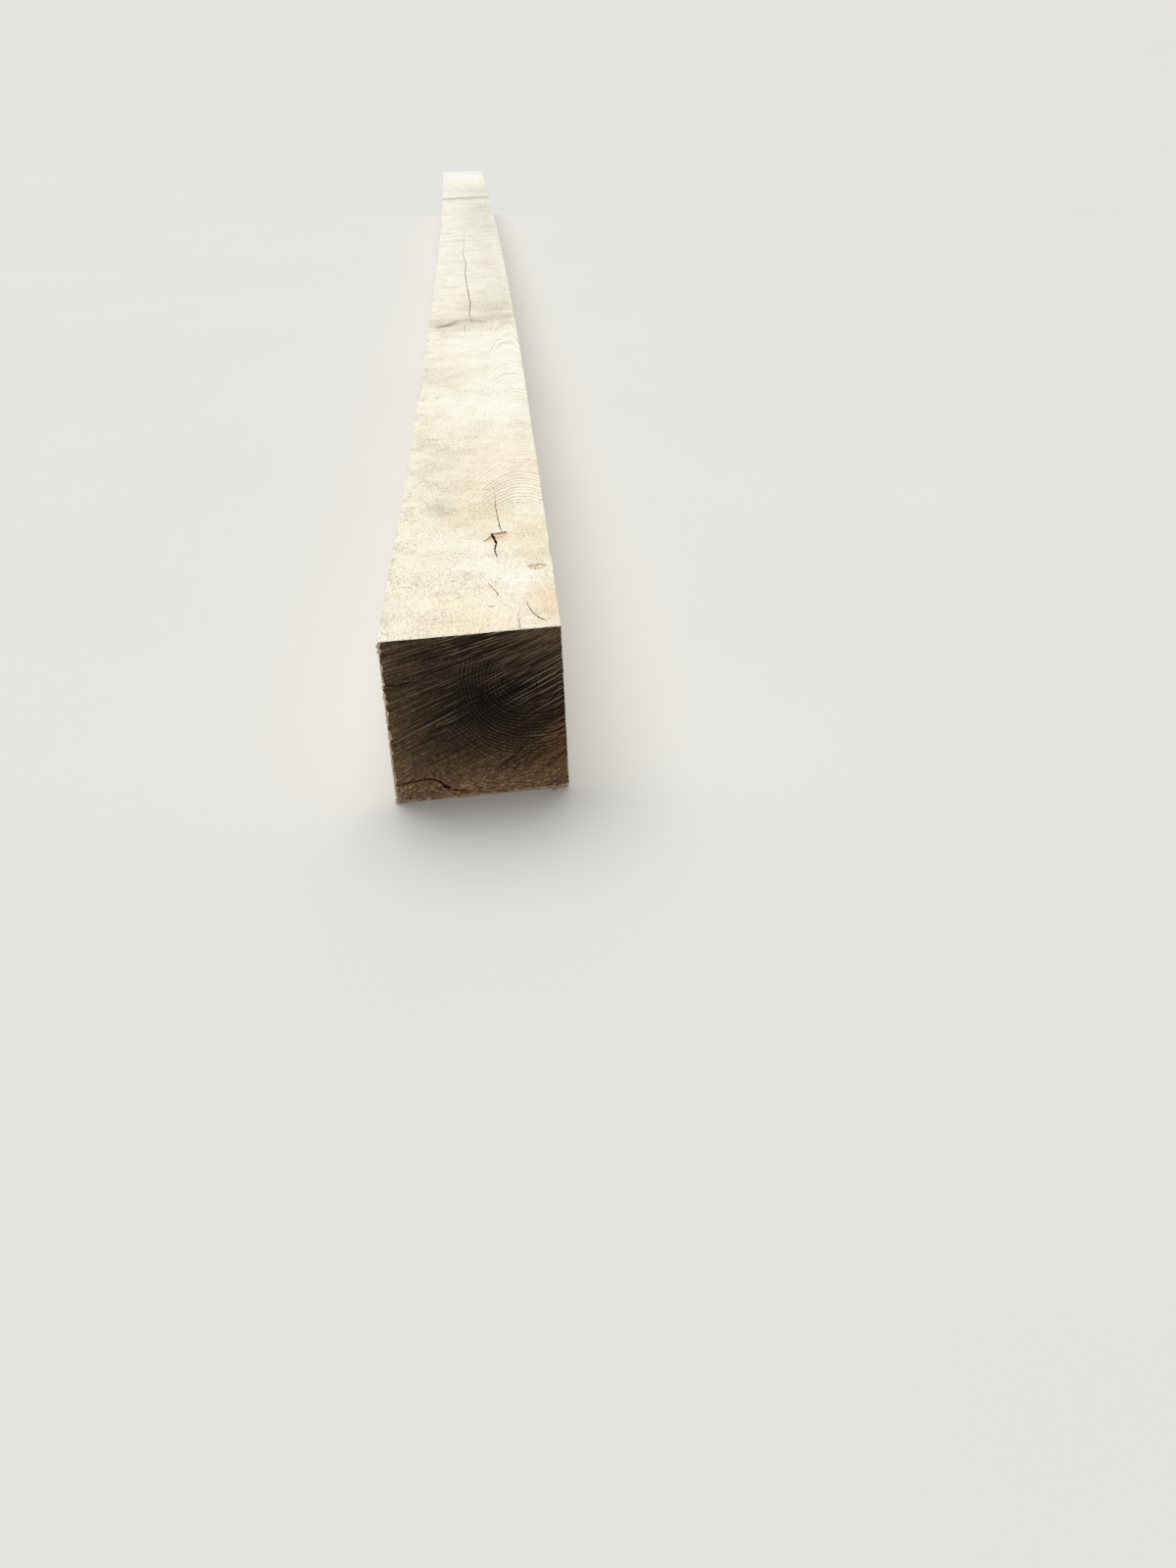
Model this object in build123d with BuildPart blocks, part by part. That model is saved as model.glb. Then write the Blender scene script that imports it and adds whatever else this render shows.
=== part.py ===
from build123d import *
from math import hypot, radians, tan
import os

# Baulk as it left the saw, in millimetres. X is across, Y is along and Z is up.
beam_length = 3500
beam_width = 120  # across the bottom face
beam_height = 120
top_inset_left = 1.2  # the sides lean in, so the top face is a little narrower
top_inset_right = 0.7
arris_flat = 0.8  # worn off each long edge
crook_rise = 13  # the middle of the length bends out towards +X by this much

# Crosscut of the front end, in degrees out of square
cut_skew = 3.4  # seen from above
cut_lean = 1.2  # seen from the side
end_allowance = 40  # sawn over length at each end and then cut off

# Second pass of the crosscut saw, which dug in along the lower left of the front end
second_pass_width = 15
second_pass_height = 38
second_pass_bite = 1.0

# A check is a drying crack. It is as wide as its opening at the surface and closes as it goes in.
closing_share = 0.2  # width left at its full depth
surface_clearance = 1.0  # the cutting wedge starts this far outside the wood

# Routes of the checks in the top face: right of the centre line, back from the front end, opening
long_check = [(4, 2130, 0), (2, 1894, 0.7), (0, 1690, 1.0), (4.5, 1588, 1.2), (3, 1460, 1.4),
              (6.3, 1296, 1.6), (9.6, 1187, 1.7), (7.2, 1097, 1.5), (13, 1036, 0)]
long_check_tail = [(-0.5, 1046, 0), (0.5, 1004, 1.0), (1.2, 962, 0)]
check_behind_knot = [(23.5, 318, 0), (23, 252, 0.5), (24.2, 225, 0.8), (25, 202, 1.0), (26.5, 190, 0.9)]
check_before_knot = [(21.5, 163, 1.4), (20, 154, 1.6), (20.2, 149, 1.1), (21, 138, 0.7), (21.2, 125, 0)]
curved_check = [(13.2, 92, 0), (15, 81, 0.6), (18, 72, 1.0), (20.2, 65, 1.2), (19.4, 59, 0)]
short_check = [(12.4, 44.8, 0), (15, 43.4, 1.6), (18.4, 46, 0)]
front_hairline = [(32.2, 34, 0), (32.6, 14, 0.4), (33, -6, 0.5)]
long_check_depth = 35
surface_check_depth = 12

# A check near the right arris, measured from that arris: right of it, back from the front end, opening
arris_check = [(-20, 52, 0), (-19.5, 40, 0.5), (-17.4, 30, 0.8), (-13.8, 20.5, 1.2), (-11, 17.4, 1.1),
               (-8.6, 14.6, 0)]

# Dead knot in the top face. Its end has shrunk below the surface and split into a star.
knot_outline = [(10.6, 170.2), (15.6, 176.6), (18.4, 187), (30, 190.6), (31.2, 183.6), (23.4, 172.6), (14, 168.4)]
knot_sink = 1.0
knot_taper_share = 0.96  # the sunk end of the knot against its outline at the surface
knot_split = [(18, 189.5, 0), (18.7, 186, 2.2), (20, 177, 2.6), (21.2, 168, 2.2), (21.8, 161, 0)]
knot_split_depth = 28
knot_crack_left = [(9.8, 170, 0), (13.6, 172.6, 0.9), (16.2, 177, 0.6), (18.6, 184.5, 0.5)]
knot_crack_right = [(18.4, 186.6, 0.6), (23.6, 187, 0.7), (27.6, 188, 1.4), (30.4, 191.4, 0)]
knot_crack_depth = 9

# Routes of the cracks in the front end, each from the corner or side that it starts at:
# right of it, up, opening
ring_shake = [(-4, 13.2, 0.5), (1, 13.4, 0.6), (8, 15.2, 0.8), (14, 16, 0.7), (22, 17.4, 0.9), (28, 16.4, 0.8),
              (32, 13.6, 1.0), (35, 10.4, 1.5), (40, 7.2, 0.9), (44, 5.8, 0.7), (49, 5.4, 0.6), (54, 2.6, 0)]
ring_shake_depth = 95
left_end_check = [(-4, 0.4, 0.7), (10, 0, 0.6), (22, 1, 0.5), (28, 3.4, 0)]
right_end_check = [(-9.5, 3.4, 0), (-5, 1.8, 0.7), (4, -1, 0.9)]
heart_check = [(0, 9, 0), (0.5, 0, 0.5), (0.4, -8, 0)]
left_end_check_height = 88.6
right_end_check_height = 77
heart_check_height = 80.5
heart_from_right = 19.4
end_check_depth = 38

# Torn corner at the lower left of the front end: outline of what broke away, from that corner
torn_outline = [(-5, 12.6), (1.4, 11), (2.6, 7.4), (1.8, 4.2), (5.4, 2.4), (9.6, 1.6), (13.2, -5), (-5, -5)]
torn_depth = 24
torn_closing_share = 0.35

# Places worked out from those sizes
half_length = beam_length / 2
half_width = beam_width / 2
sawn_reach = half_length + end_allowance
skew_slope = tan(radians(cut_skew))
lean_slope = tan(radians(cut_lean))
front_x = -crook_rise / 2  # the middle of the front end
front_overreach = half_width * skew_slope + (beam_height / 2 - second_pass_height) * lean_slope
front_y = front_overreach - half_length  # the foremost point is on the left, above the second pass


def on_front_cut(across, up):
    """Point of the crosscut, from the middle of the front end's bottom edge."""
    back = across * skew_slope + (up - beam_height / 2) * lean_slope
    return (front_x + across, front_y + back, up)


def front_plane(across, up):
    """Plane of the crosscut with its origin at one of its points, facing out of the wood."""
    return Plane(on_front_cut(across, up), x_dir=(1, skew_slope, 0), z_dir=(skew_slope, -1, lean_slope))


def top_plane(across):
    """Plane of the top face, with its origin beside the middle of the front end."""
    return Plane((front_x + across, front_y, beam_height))


def crooked_side(across):
    """One long side of the baulk in plan: a shallow parabola, at a distance from the middle."""
    rise_at_reach = crook_rise / 2 - crook_rise * (sawn_reach / half_length) ** 2
    bow_handle = crook_rise - rise_at_reach
    return Bezier((across + rise_at_reach, -sawn_reach), (across + bow_handle, 0), (across + rise_at_reach, sawn_reach))


def crack_outline(route, share=1.0):
    """Closed outline of a crack: out along its left bank and home along its right one."""
    left_bank = []
    right_bank = []
    for place, (x, y, opening) in enumerate(route):
        before = route[max(place - 1, 0)]
        after = route[min(place + 1, len(route) - 1)]
        run_x = after[0] - before[0]
        run_y = after[1] - before[1]
        half_opening = opening * share / 2 / hypot(run_x, run_y)
        left_bank.append((x - run_y * half_opening, y + run_x * half_opening))
        if opening > 0:
            right_bank.append((x + run_y * half_opening, y - run_x * half_opening))
    return left_bank + right_bank[::-1]


def wedge(face, outer, inner, depth):
    """Tapered cutter from just outside a face, where it has the outer outline, to a depth."""
    with BuildPart() as cutter:
        for level, outline in ((surface_clearance, outer), (-depth, inner)):
            with BuildSketch(face.offset(level)):
                with BuildLine():
                    Polyline(outline, close=True)
                make_face()
        loft(ruled=True)
    return cutter.part


def crack(face, route, depth):
    """Cutter for one check that follows its route over a face."""
    return wedge(face, crack_outline(route), crack_outline(route, closing_share), depth)


def shrunk(outline, share):
    """The same outline drawn in towards its own middle."""
    middle_x = sum(x for x, y in outline) / len(outline)
    middle_y = sum(y for x, y in outline) / len(outline)
    return [(middle_x + (x - middle_x) * share, middle_y + (y - middle_y) * share) for x, y in outline]


top_centre = top_plane(0)
top_right_arris = top_plane(half_width - top_inset_right)
top_cracks = [
    crack(top_centre, long_check, long_check_depth),
    crack(top_centre, long_check_tail, surface_check_depth),
    crack(top_centre, check_behind_knot, surface_check_depth),
    crack(top_centre, check_before_knot, surface_check_depth),
    crack(top_centre, curved_check, surface_check_depth),
    crack(top_centre, short_check, surface_check_depth),
    crack(top_centre, front_hairline, surface_check_depth),
    crack(top_right_arris, arris_check, surface_check_depth),
]
knot_cracks = [
    crack(top_centre, knot_split, knot_split_depth),
    crack(top_centre, knot_crack_left, knot_crack_depth),
    crack(top_centre, knot_crack_right, knot_crack_depth),
]
knot_pocket = wedge(top_centre, knot_outline, shrunk(knot_outline, knot_taper_share), knot_sink)

lower_left = front_plane(-half_width, 0)
end_cracks = [
    crack(lower_left, ring_shake, ring_shake_depth),
    crack(front_plane(-half_width, left_end_check_height), left_end_check, end_check_depth),
    crack(front_plane(half_width, right_end_check_height), right_end_check, end_check_depth),
    crack(front_plane(half_width - heart_from_right, heart_check_height), heart_check, end_check_depth),
]
torn_inner = [(x * torn_closing_share, y * torn_closing_share) for x, y in torn_outline]
torn_corner = wedge(lower_left, torn_outline, torn_inner, torn_depth)

# The second pass bites deepest at the bottom edge and runs out at its full height
along_cut = Plane(on_front_cut(-half_width, 0), x_dir=(-skew_slope, 1, -lean_slope), z_dir=(1, skew_slope, 0))
with BuildPart() as second_pass:
    with BuildSketch(along_cut.offset(-end_allowance)):
        with BuildLine():
            Polyline((second_pass_bite, 0), (0, second_pass_height), (-end_allowance, second_pass_height),
                     (-end_allowance, -end_allowance), (second_pass_bite, -end_allowance), close=True)
        make_face()
    extrude(amount=end_allowance + second_pass_width)

# The crooked baulk is lofted up through its outline in plan, drawn in at both ends of its height
# by the worn arrises, and is then cut off at both ends
with BuildPart() as beam:
    for height, inset in ((0, arris_flat), (arris_flat, 0), (beam_height - arris_flat, 0), (beam_height, arris_flat)):
        lean = height / beam_height
        right_x = half_width - inset - top_inset_right * lean
        left_x = -half_width + inset + top_inset_left * lean
        with BuildSketch(Plane.XY.offset(height)):
            with BuildLine():
                right_side = crooked_side(right_x)
                left_side = crooked_side(left_x)
                Line(right_side @ 1, left_side @ 1)
                Line(left_side @ 0, right_side @ 0)
            make_face()
    loft(ruled=True)
    split(bisect_by=front_plane(0, 0), keep=Keep.BOTTOM)
    split(bisect_by=Plane((0, half_length, 0), z_dir=(0, 1, 0)), keep=Keep.BOTTOM)
    add([second_pass.part, torn_corner, knot_pocket], mode=Mode.SUBTRACT)
    add(top_cracks + knot_cracks + end_cracks, mode=Mode.SUBTRACT)

beam.part.label = "beam"
box = beam.part.bounding_box()
print(f"beam: {box.size.X:.2f} x {box.size.Y:.2f} x {box.size.Z:.2f} mm, "
      f"middle of its box at ({box.center().X:.3f}, {box.center().Y:.3f}), lowest point {box.min.Z:.3f}, "
      f"{len(beam.solids())} solid, {len(beam.faces())} faces, {beam.part.volume / 1e9:.4f} cubic metres")
os.makedirs("parts", exist_ok=True)
export_step(beam.part, "parts/beam.step")
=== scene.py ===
# %% [markdown]
# A rough oak beam, straight from the sawmill. It is one piece of wood, so this lesson makes one
# large mesh, and a small one for the fibres that the saws tore loose. The shape comes from the
# model's frame, which is loaded first. Everything below is then in metres, in the same place
# as that frame.

# %% Load the frame
import math
import random
import bpy
import numpy as np
from mathutils import Matrix, Vector, noise
from mathutils.geometry import delaunay_2d_cdt


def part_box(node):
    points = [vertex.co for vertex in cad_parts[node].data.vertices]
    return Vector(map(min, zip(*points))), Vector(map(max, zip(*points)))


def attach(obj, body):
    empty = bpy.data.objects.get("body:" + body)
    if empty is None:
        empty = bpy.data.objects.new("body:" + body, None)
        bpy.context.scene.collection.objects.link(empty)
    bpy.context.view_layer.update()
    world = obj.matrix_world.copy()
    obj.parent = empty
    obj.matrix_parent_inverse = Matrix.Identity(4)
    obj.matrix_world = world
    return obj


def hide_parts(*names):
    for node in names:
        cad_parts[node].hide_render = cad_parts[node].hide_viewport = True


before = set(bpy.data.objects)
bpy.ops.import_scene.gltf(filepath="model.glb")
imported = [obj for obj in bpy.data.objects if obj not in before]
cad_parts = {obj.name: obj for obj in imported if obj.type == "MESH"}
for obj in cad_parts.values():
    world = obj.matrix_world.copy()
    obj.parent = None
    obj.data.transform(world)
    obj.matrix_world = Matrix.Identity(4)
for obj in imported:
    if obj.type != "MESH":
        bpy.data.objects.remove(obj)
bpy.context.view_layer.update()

beam_low, beam_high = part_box("beam")
print("beam box in metres:", [round(size, 4) for size in beam_high - beam_low])

# %% [markdown]
# Wood is measured in millimetres, so the lesson keeps its sizes in them. They are counted the
# way a carpenter would: right of the centre line of the front end, back from that end, and up
# from the ground. One function turns such a place into the frame's metres.

# %% Sizes of the baulk
MM = 0.001
width = 120.0
height = (beam_high.z - beam_low.z) / MM
length = (beam_high.y - beam_low.y) / MM
crook_rise = (beam_high.x - beam_low.x) / MM - width
top_inset_left, top_inset_right = 1.2, 0.7
skew_degrees, lean_degrees = 3.4, 1.2
skew_slope = math.tan(math.radians(skew_degrees))
lean_slope = math.tan(math.radians(lean_degrees))
second_pass_width, second_pass_height, second_pass_bite = 15.0, 38.0, 1.0
front_x = -crook_rise / 2
front_overreach = width / 2 * skew_slope + (height / 2 - second_pass_height) * lean_slope
front_y = beam_low.y / MM + front_overreach
back_end = length - front_overreach


def crook_at(back):
    """How far right of the front end's middle the centre line runs at a distance back."""
    from_middle = (front_y + back) / (length / 2)
    return crook_rise * (1 - from_middle**2)


def in_frame(right, back, up):
    """A place on the straight baulk in millimetres becomes a point of the frame in metres."""
    return Vector((front_x + right + crook_at(back), front_y + back, up)) * MM


print(f"baulk {width:.0f} x {height:.0f} x {length:.0f} mm, crooked by {crook_rise:.1f} mm")

# %% [markdown]
# The saw leaves six flat faces. A plain box would do for a distant beam, but this one is seen
# from 70 cm, and its relief has to be real. Each face is therefore filled with points, close
# together near the front end and further apart behind, and a Delaunay triangulation joins
# them. Neighbouring faces share the points on their common edge, so the mesh is closed.

# %% Spacing of the points
finest, coarsest = 1.25, 12.0
finest_reach = 330.0
growth = 0.0085
longest_last_step = 1.5
rng = random.Random(7)


def spacing_at(back):
    """Distance between neighbouring points, at a distance back from the front end."""
    return min(finest + growth * max(back - finest_reach, 0), coarsest)


stations = [0.0]
while stations[-1] < back_end - spacing_at(stations[-1]) * longest_last_step:
    stations.append(stations[-1] + spacing_at(stations[-1]))
stations.append(back_end)
print("stations along the beam:", len(stations))


def evenly(low, high, step):
    """Points from low to high, no further apart than a step."""
    count = max(1, math.ceil((high - low) / step))
    return [low + (high - low) * place / count for place in range(count + 1)]


# %% Triangulate one flat face
inside_only, same_place = 1, 1e-6
margin_share = 0.45


def fill_face(edge_points, rows):
    """Joins the points round a face and the rows of points inside it into triangles."""
    inner = [Vector(point) for row in rows for point in row]
    outer = [Vector(point) for point in edge_points]
    loop = [(place, (place + 1) % len(outer)) for place in range(len(outer))]
    points, _, triangles, _, _, _ = delaunay_2d_cdt(outer + inner, loop, [], inside_only, same_place)
    return [tuple(point) for point in points], [list(triangle) for triangle in triangles]


def inner_rows(stops, low, high, sparse):
    """Staggered rows of points across a face, one row at each stop along it."""
    rows = []
    for place, stop in enumerate(stops[1:-1]):
        if place % sparse:
            continue
        step = min(stop - stops[place], stops[place + 2] - stop) * sparse
        across = evenly(low, high, step)
        shift = (across[1] - across[0]) / 2 * (place // sparse % 2)
        margin = (across[1] - across[0]) * margin_share
        row = [point + shift for point in across]
        rows.append([(point, stop) for point in row if low + margin < point < high - margin])
    return rows


# %% [markdown]
# The four long faces and the two ends are made in flat coordinates and then stood up in the
# baulk. The top gets every row of points, because its grain and knot are in view. The other
# long faces get every second row. The end's own grid is as fine as the front rows.

# %% Stand the six faces up
half = width / 2
end_step = 1.0
across_stops = evenly(-half, half, end_step)
up_stops = evenly(0.0, height, end_step)


def face_edges(stops_u, stops_v):
    """Corner to corner round a rectangle, through the stops of its sides."""
    low_u, high_u, low_v, high_v = stops_u[0], stops_u[-1], stops_v[0], stops_v[-1]
    there = [(u, low_v) for u in stops_u[:-1]] + [(high_u, v) for v in stops_v[:-1]]
    back = [(u, high_v) for u in stops_u[:0:-1]] + [(low_u, v) for v in stops_v[:0:-1]]
    return there + back


SIDE, END, CHECK, KNOT, TORN, SPLINTER = range(6)
faces_of_baulk = [
    ("top", across_stops, stations, 1, SIDE, lambda u, v: (u, v, height), False),
    ("bottom", across_stops, stations, 2, SIDE, lambda u, v: (u, v, 0.0), True),
    ("left", up_stops, stations, 2, SIDE, lambda u, v: (-half, v, u), False),
    ("right", up_stops, stations, 2, SIDE, lambda u, v: (half, v, u), True),
    ("front", across_stops, up_stops, 1, END, lambda u, v: (u, 0.0, v), False),
    ("back", across_stops, up_stops, 2, END, lambda u, v: (u, back_end, v), True),
]
corners = {}
places = []
triangles = []
kinds = []
for title, stops_u, stops_v, sparse, kind, stand, flip in faces_of_baulk:
    rows = inner_rows(stops_v, stops_u[0], stops_u[-1], sparse)
    points, faces = fill_face(face_edges(stops_u, stops_v), rows)
    numbers = []
    for u, v in points:
        place = stand(u, v)
        key = tuple(round(value, 3) for value in place)
        if key not in corners:
            corners[key] = len(places)
            places.append(place)
        numbers.append(corners[key])
    for face in faces:
        turned = face[::-1] if flip else face
        triangles.append([numbers[corner] for corner in turned])
        kinds.append(kind)
    print(f"{title}: {len(points)} points, {len(faces)} triangles")
places = np.array(places)
print("baulk:", len(places), "points,", len(triangles), "triangles")

# %% [markdown]
# The baulk now gets its true form. The sides lean in a little, the crosscut runs out of square
# both ways, and a second pass of the crosscut saw has bitten into the lower left. Moving the
# points by a formula keeps the mesh closed, which a stack of cutting tools might not.

# %% Lean the sides and skew the front end
rights, backs, ups = places.T.copy()
on_left, on_right = rights == -half, rights == half
on_top, on_bottom = ups == height, ups == 0.0
on_front, on_back = backs == 0.0, backs == back_end
skew_reach = 600.0
end_wear_depth, end_wear_reach, end_wear_loss = 1.15, 60.0, 0.7


def wear_share(up):
    """How much of its depth the wear on the left of the front end keeps, less towards the top."""
    return 1 - end_wear_loss * up / height


inset = (ups / height) * np.where(rights < 0, top_inset_left, -top_inset_right) * np.abs(rights) / half
end_wear = np.where(on_left, end_wear_depth * np.exp(-backs / end_wear_reach) * wear_share(ups), 0.0)
cut_shift = skew_slope * rights + lean_slope * (ups - height / 2)
in_second_pass = on_front & (rights < -half + second_pass_width) & (ups < second_pass_height)
bite = np.where(in_second_pass, second_pass_bite * (1 - ups / second_pass_height), 0.0)
shaped_right = rights + inset + end_wear
shaped_back = backs + cut_shift * np.clip(1 - backs / skew_reach, 0, 1) + bite
shaped_up = ups.copy()
print(f"front end runs from {shaped_back[on_front].min():.1f} to {shaped_back[on_front].max():.1f} mm")

# %% [markdown]
# A bandsaw leaves a washboard across the beam: fine teeth marks, and longer waves where the
# feed slowed. The crosscut's strokes climb to the right over the end. The saw was tilted more as
# it came down, so the lower strokes are steeper, and all of them crowd together at the upper
# right. Both reliefs are a fraction of a millimetre deep and only ever go into the wood, so the
# beam keeps its size. Waves too short for the points around them are left to the bump of the
# material.

# %% Relief of the sawn faces
# Length of each wave along the beam and its depth, in millimetres
wave_sizes = {5.0: 0.09, 13.0: 0.12, 47.0: 0.18, 170.0: 0.28}
wave_stretch, wave_slant, wave_steps = 3.5, 0.03, 2.5
wave_middle, wave_swing = 0.35, 0.6
face_apart = 7.3
underside_share = 0.5


def sawn_wave(right, back, up, face):
    """Depth in millimetres that the bandsaw left below a long face."""
    depth = 0.0
    across = right + up
    for wave, strength in wave_sizes.items():
        fades = min(max(wave / spacing_at(back) / wave_steps - 1, 0), 1)
        if fades:
            along = (back + wave_slant * across) / wave
            where = Vector((across / (wave * wave_stretch), along, face * face_apart + wave))
            depth += strength * fades * max(wave_middle + wave_swing * noise.noise(where), 0)
    return depth


# %% Relief of the crosscut end
flattest_stroke, steepest_stroke, second_pass_slope = 0.2, 0.43, 0.62
stroke_turn, turned_at = 0.0048, 50.0
stroke_curl = 0.0003
closer_tries = 12
ridge_middle = 0.22
# Each ridge: length along the stroke, width across it, place in the noise and depth
ridge_sizes = [(90, 5, 3.1, 0.3), (120, 12, 9.4, 0.25)]


def saw_strokes(right, up):
    """The stroke of the crosscut that each point lies on, as its height at the left side."""
    from_left = right + half
    at_left = up
    for _ in range(closer_tries):
        turn = stroke_turn * (at_left - turned_at)
        slope = np.clip(steepest_stroke - turn, flattest_stroke, steepest_stroke)
        at_left = up - slope * from_left - stroke_curl * from_left**2
    in_second_pass = (right < second_pass_width - half) & (up < second_pass_height)
    return np.where(in_second_pass, up - second_pass_slope * from_left, at_left)


def crosscut_ridge(right, stroke):
    """Depth in millimetres that the crosscut left below the front end."""
    depth = ridge_middle
    for along, across, apart, strength in ridge_sizes:
        depth += strength * noise.noise(Vector((right / along, stroke / across, apart)))
    return max(depth, 0.0)


strokes = saw_strokes(rights, ups)
for place, (right, back, up) in enumerate(places):
    if on_top[place]:
        shaped_up[place] -= sawn_wave(right, back, 0, 1)
    if on_bottom[place]:
        shaped_up[place] += underside_share * sawn_wave(right, back, 0, 2)
    if on_left[place]:
        shaped_right[place] += sawn_wave(0, back, up, 3)
    if on_right[place]:
        shaped_right[place] -= sawn_wave(0, back, up, 4)
    if on_front[place]:
        shaped_back[place] += crosscut_ridge(right, strokes[place])
    if on_back[place]:
        shaped_back[place] -= crosscut_ridge(right, strokes[place])
print(f"relief on the top: up to {(height - shaped_up[on_top]).max():.2f} mm")

# %% [markdown]
# No sawn arris is a clean line. The teeth tear fibres out of it, deepest where the grain runs
# out, and handling rubs off the rest. Every point on an arris moves in from both of its faces
# by its own small amount, so the edge comes out ragged rather than bevelled.

# %% Tear the arrises
arris_wear, arris_tear, gouge_depth, notch_depth = 0.12, 0.6, 2.4, 2.2
rough_size, gouge_size, notch_size = 2.3, 19, 3.7
least_gouge, least_notch = 0.1, 0.22
end_tear_share = 0.8


def torn_off(place):
    """Millimetres missing from the arris at a point."""
    where = Vector(places[place])
    rough = abs(noise.noise(where / rough_size + Vector((4.4, 0, 0))))
    gouge = max(0.0, noise.noise(where / gouge_size + Vector((0, 4.4, 0))) - least_gouge)
    notch = max(0.0, noise.noise(where / notch_size + Vector((0, 0, 8.8))) - least_notch)
    return arris_wear + arris_tear * rough + gouge_depth * gouge * rough + notch_depth * notch


on_long_faces = on_left.astype(int) + on_right + on_top + on_bottom
for place in np.flatnonzero(on_long_faces + on_front + on_back > 1):
    inward = torn_off(place)
    if on_left[place] or on_right[place]:
        shaped_right[place] += inward * (1 if on_left[place] else -1)
    if on_top[place] or on_bottom[place]:
        shaped_up[place] += inward * (1 if on_bottom[place] else -1)
    if on_front[place] or on_back[place]:
        shaped_back[place] += inward * (end_tear_share if on_front[place] else -end_tear_share)
shaped = [in_frame(*point) for point in zip(shaped_right, shaped_back, shaped_up)]
print("arris points torn:", int((on_long_faces > 1).sum()))

# %% [markdown]
# Every finish has a slot, and each face of the mesh names one by its number. The solids that
# cut the cracks carry the same slots, so the walls they leave already have the right finish.

# %% Make the baulk an object
finish_names = ["rough_sawn_oak", "crosscut_oak", "check_wall_oak", "dead_knot_oak",
                "torn_oak_fibre", "splintered_oak"]
finishes = [bpy.data.materials.new(name) for name in finish_names]


def add_object(name, contents):
    """An object in the scene for a mesh, a lamp or a camera."""
    thing = bpy.data.objects.new(name, contents)
    bpy.context.collection.objects.link(thing)
    return thing


def new_piece(name, points, faces, kinds_of_faces):
    """A mesh object with all the oak finishes, and one finish number for each face."""
    mesh = bpy.data.meshes.new(name)
    mesh.from_pydata(points, [], faces)
    for finish in finishes:
        mesh.materials.append(finish)
    mesh.polygons.foreach_set("material_index", kinds_of_faces)
    return add_object(name, mesh)


beam = new_piece("oak_beam", shaped, triangles, kinds)
print("beam mesh:", len(beam.data.vertices), "points")

# %% [markdown]
# Green oak splits as it dries. Such a crack is a check. It could be painted dark, but then it
# would have no depth. Here each check is a route of a few places, with its opening in
# millimetres at each. An end that runs out to nothing has no opening.

long_check = [(4, 2130, 0), (2, 1894, 0.7), (0, 1690, 1.0), (4.5, 1588, 1.2), (3, 1460, 1.4),
              (6.3, 1296, 1.6), (9.6, 1187, 1.7), (7.2, 1097, 1.5), (13, 1036, 0)]
long_check_tail = [(-0.5, 1046, 0), (0.5, 1004, 1.0), (1.2, 962, 0)]
check_behind_knot = [(23.5, 318, 0), (23, 252, 0.5), (24.2, 225, 0.8), (25, 202, 1.0), (26.5, 190, 0.9)]
check_before_knot = [(21.5, 163, 1.4), (20, 154, 1.6), (20.2, 149, 1.1), (21, 138, 0.7), (21.2, 125, 0)]
curved_check = [(13.2, 92, 0), (15, 81, 0.6), (18, 72, 1.0), (20.2, 65, 1.2), (19.4, 59, 0)]
curved_check_tail = [(20, 58, 0), (23, 48, 0.35), (27, 41, 0.4), (31.6, 31, 0)]
short_check = [(12.4, 44.8, 0), (15, 43.4, 1.6), (18.4, 46, 0)]
saw_nick = [(14.6, 62.4, 0), (16.6, 61.6, 0.9), (18.4, 63.6, 0)]
front_hairline = [(32.2, 34, 0), (32.6, 14, 0.4), (33, -6, 0.5)]
from_arris = half - top_inset_right
arris_check = [(from_arris - 20, 52, 0), (from_arris - 19.5, 40, 0.5), (from_arris - 17.4, 30, 0.8),
               (from_arris - 13.8, 20.5, 1.2), (from_arris - 11, 17.4, 1.1), (from_arris - 8.6, 14.6, 0)]
small_knot_brow = [(43.4, 112.8, 0), (45.2, 115, 0.6), (47.8, 113.4, 0.5), (50.4, 114.6, 0.8),
                   (52.6, 116.2, 0.9), (53.6, 113.4, 0)]
small_knot_tick = [(48, 111.4, 0), (48.1, 108.4, 0.8), (47.9, 104.6, 0)]
print("the longest check runs", long_check[0][1] - long_check[-1][1], "mm along the top")

# %% Routes of the cracks in the front end: right, up, opening
ring_shake = [(-64, 13.2, 0.5), (-59, 13.4, 0.6), (-52, 15.2, 0.8), (-46, 16, 0.7), (-38, 17.4, 0.9),
              (-32, 16.4, 0.8), (-28, 13.6, 1.0), (-25, 10.4, 1.5), (-20, 7.2, 0.9), (-16, 5.8, 0.7),
              (-11, 5.4, 0.6), (-6, 2.6, 0)]
left_end_check = [(-64, 89, 0.7), (-50, 88.6, 0.6), (-38, 89.6, 0.5), (-32, 92, 0)]
right_end_check = [(50.5, 80.4, 0), (55, 78.8, 0.7), (64, 76, 0.9)]
heart_check = [(40.6, 89.5, 0), (41.1, 80.5, 0.5), (41, 72.5, 0)]
print("the ring shake crosses", ring_shake[-1][0] + half, "mm of the end")

# %% [markdown]
# A sharp pen line would look drawn, so each route is divided into short steps that jog from
# side to side, and its opening pinches and widens. A tapered solid, four-sided in section, is
# then swept along it. It starts outside the wood and narrows to a fifth at its full depth.

# %% Sweep a wedge along a route
closing_share, clearance = 0.2, 1.0
least_opening, least_reach = 0.06, 0.35


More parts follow.
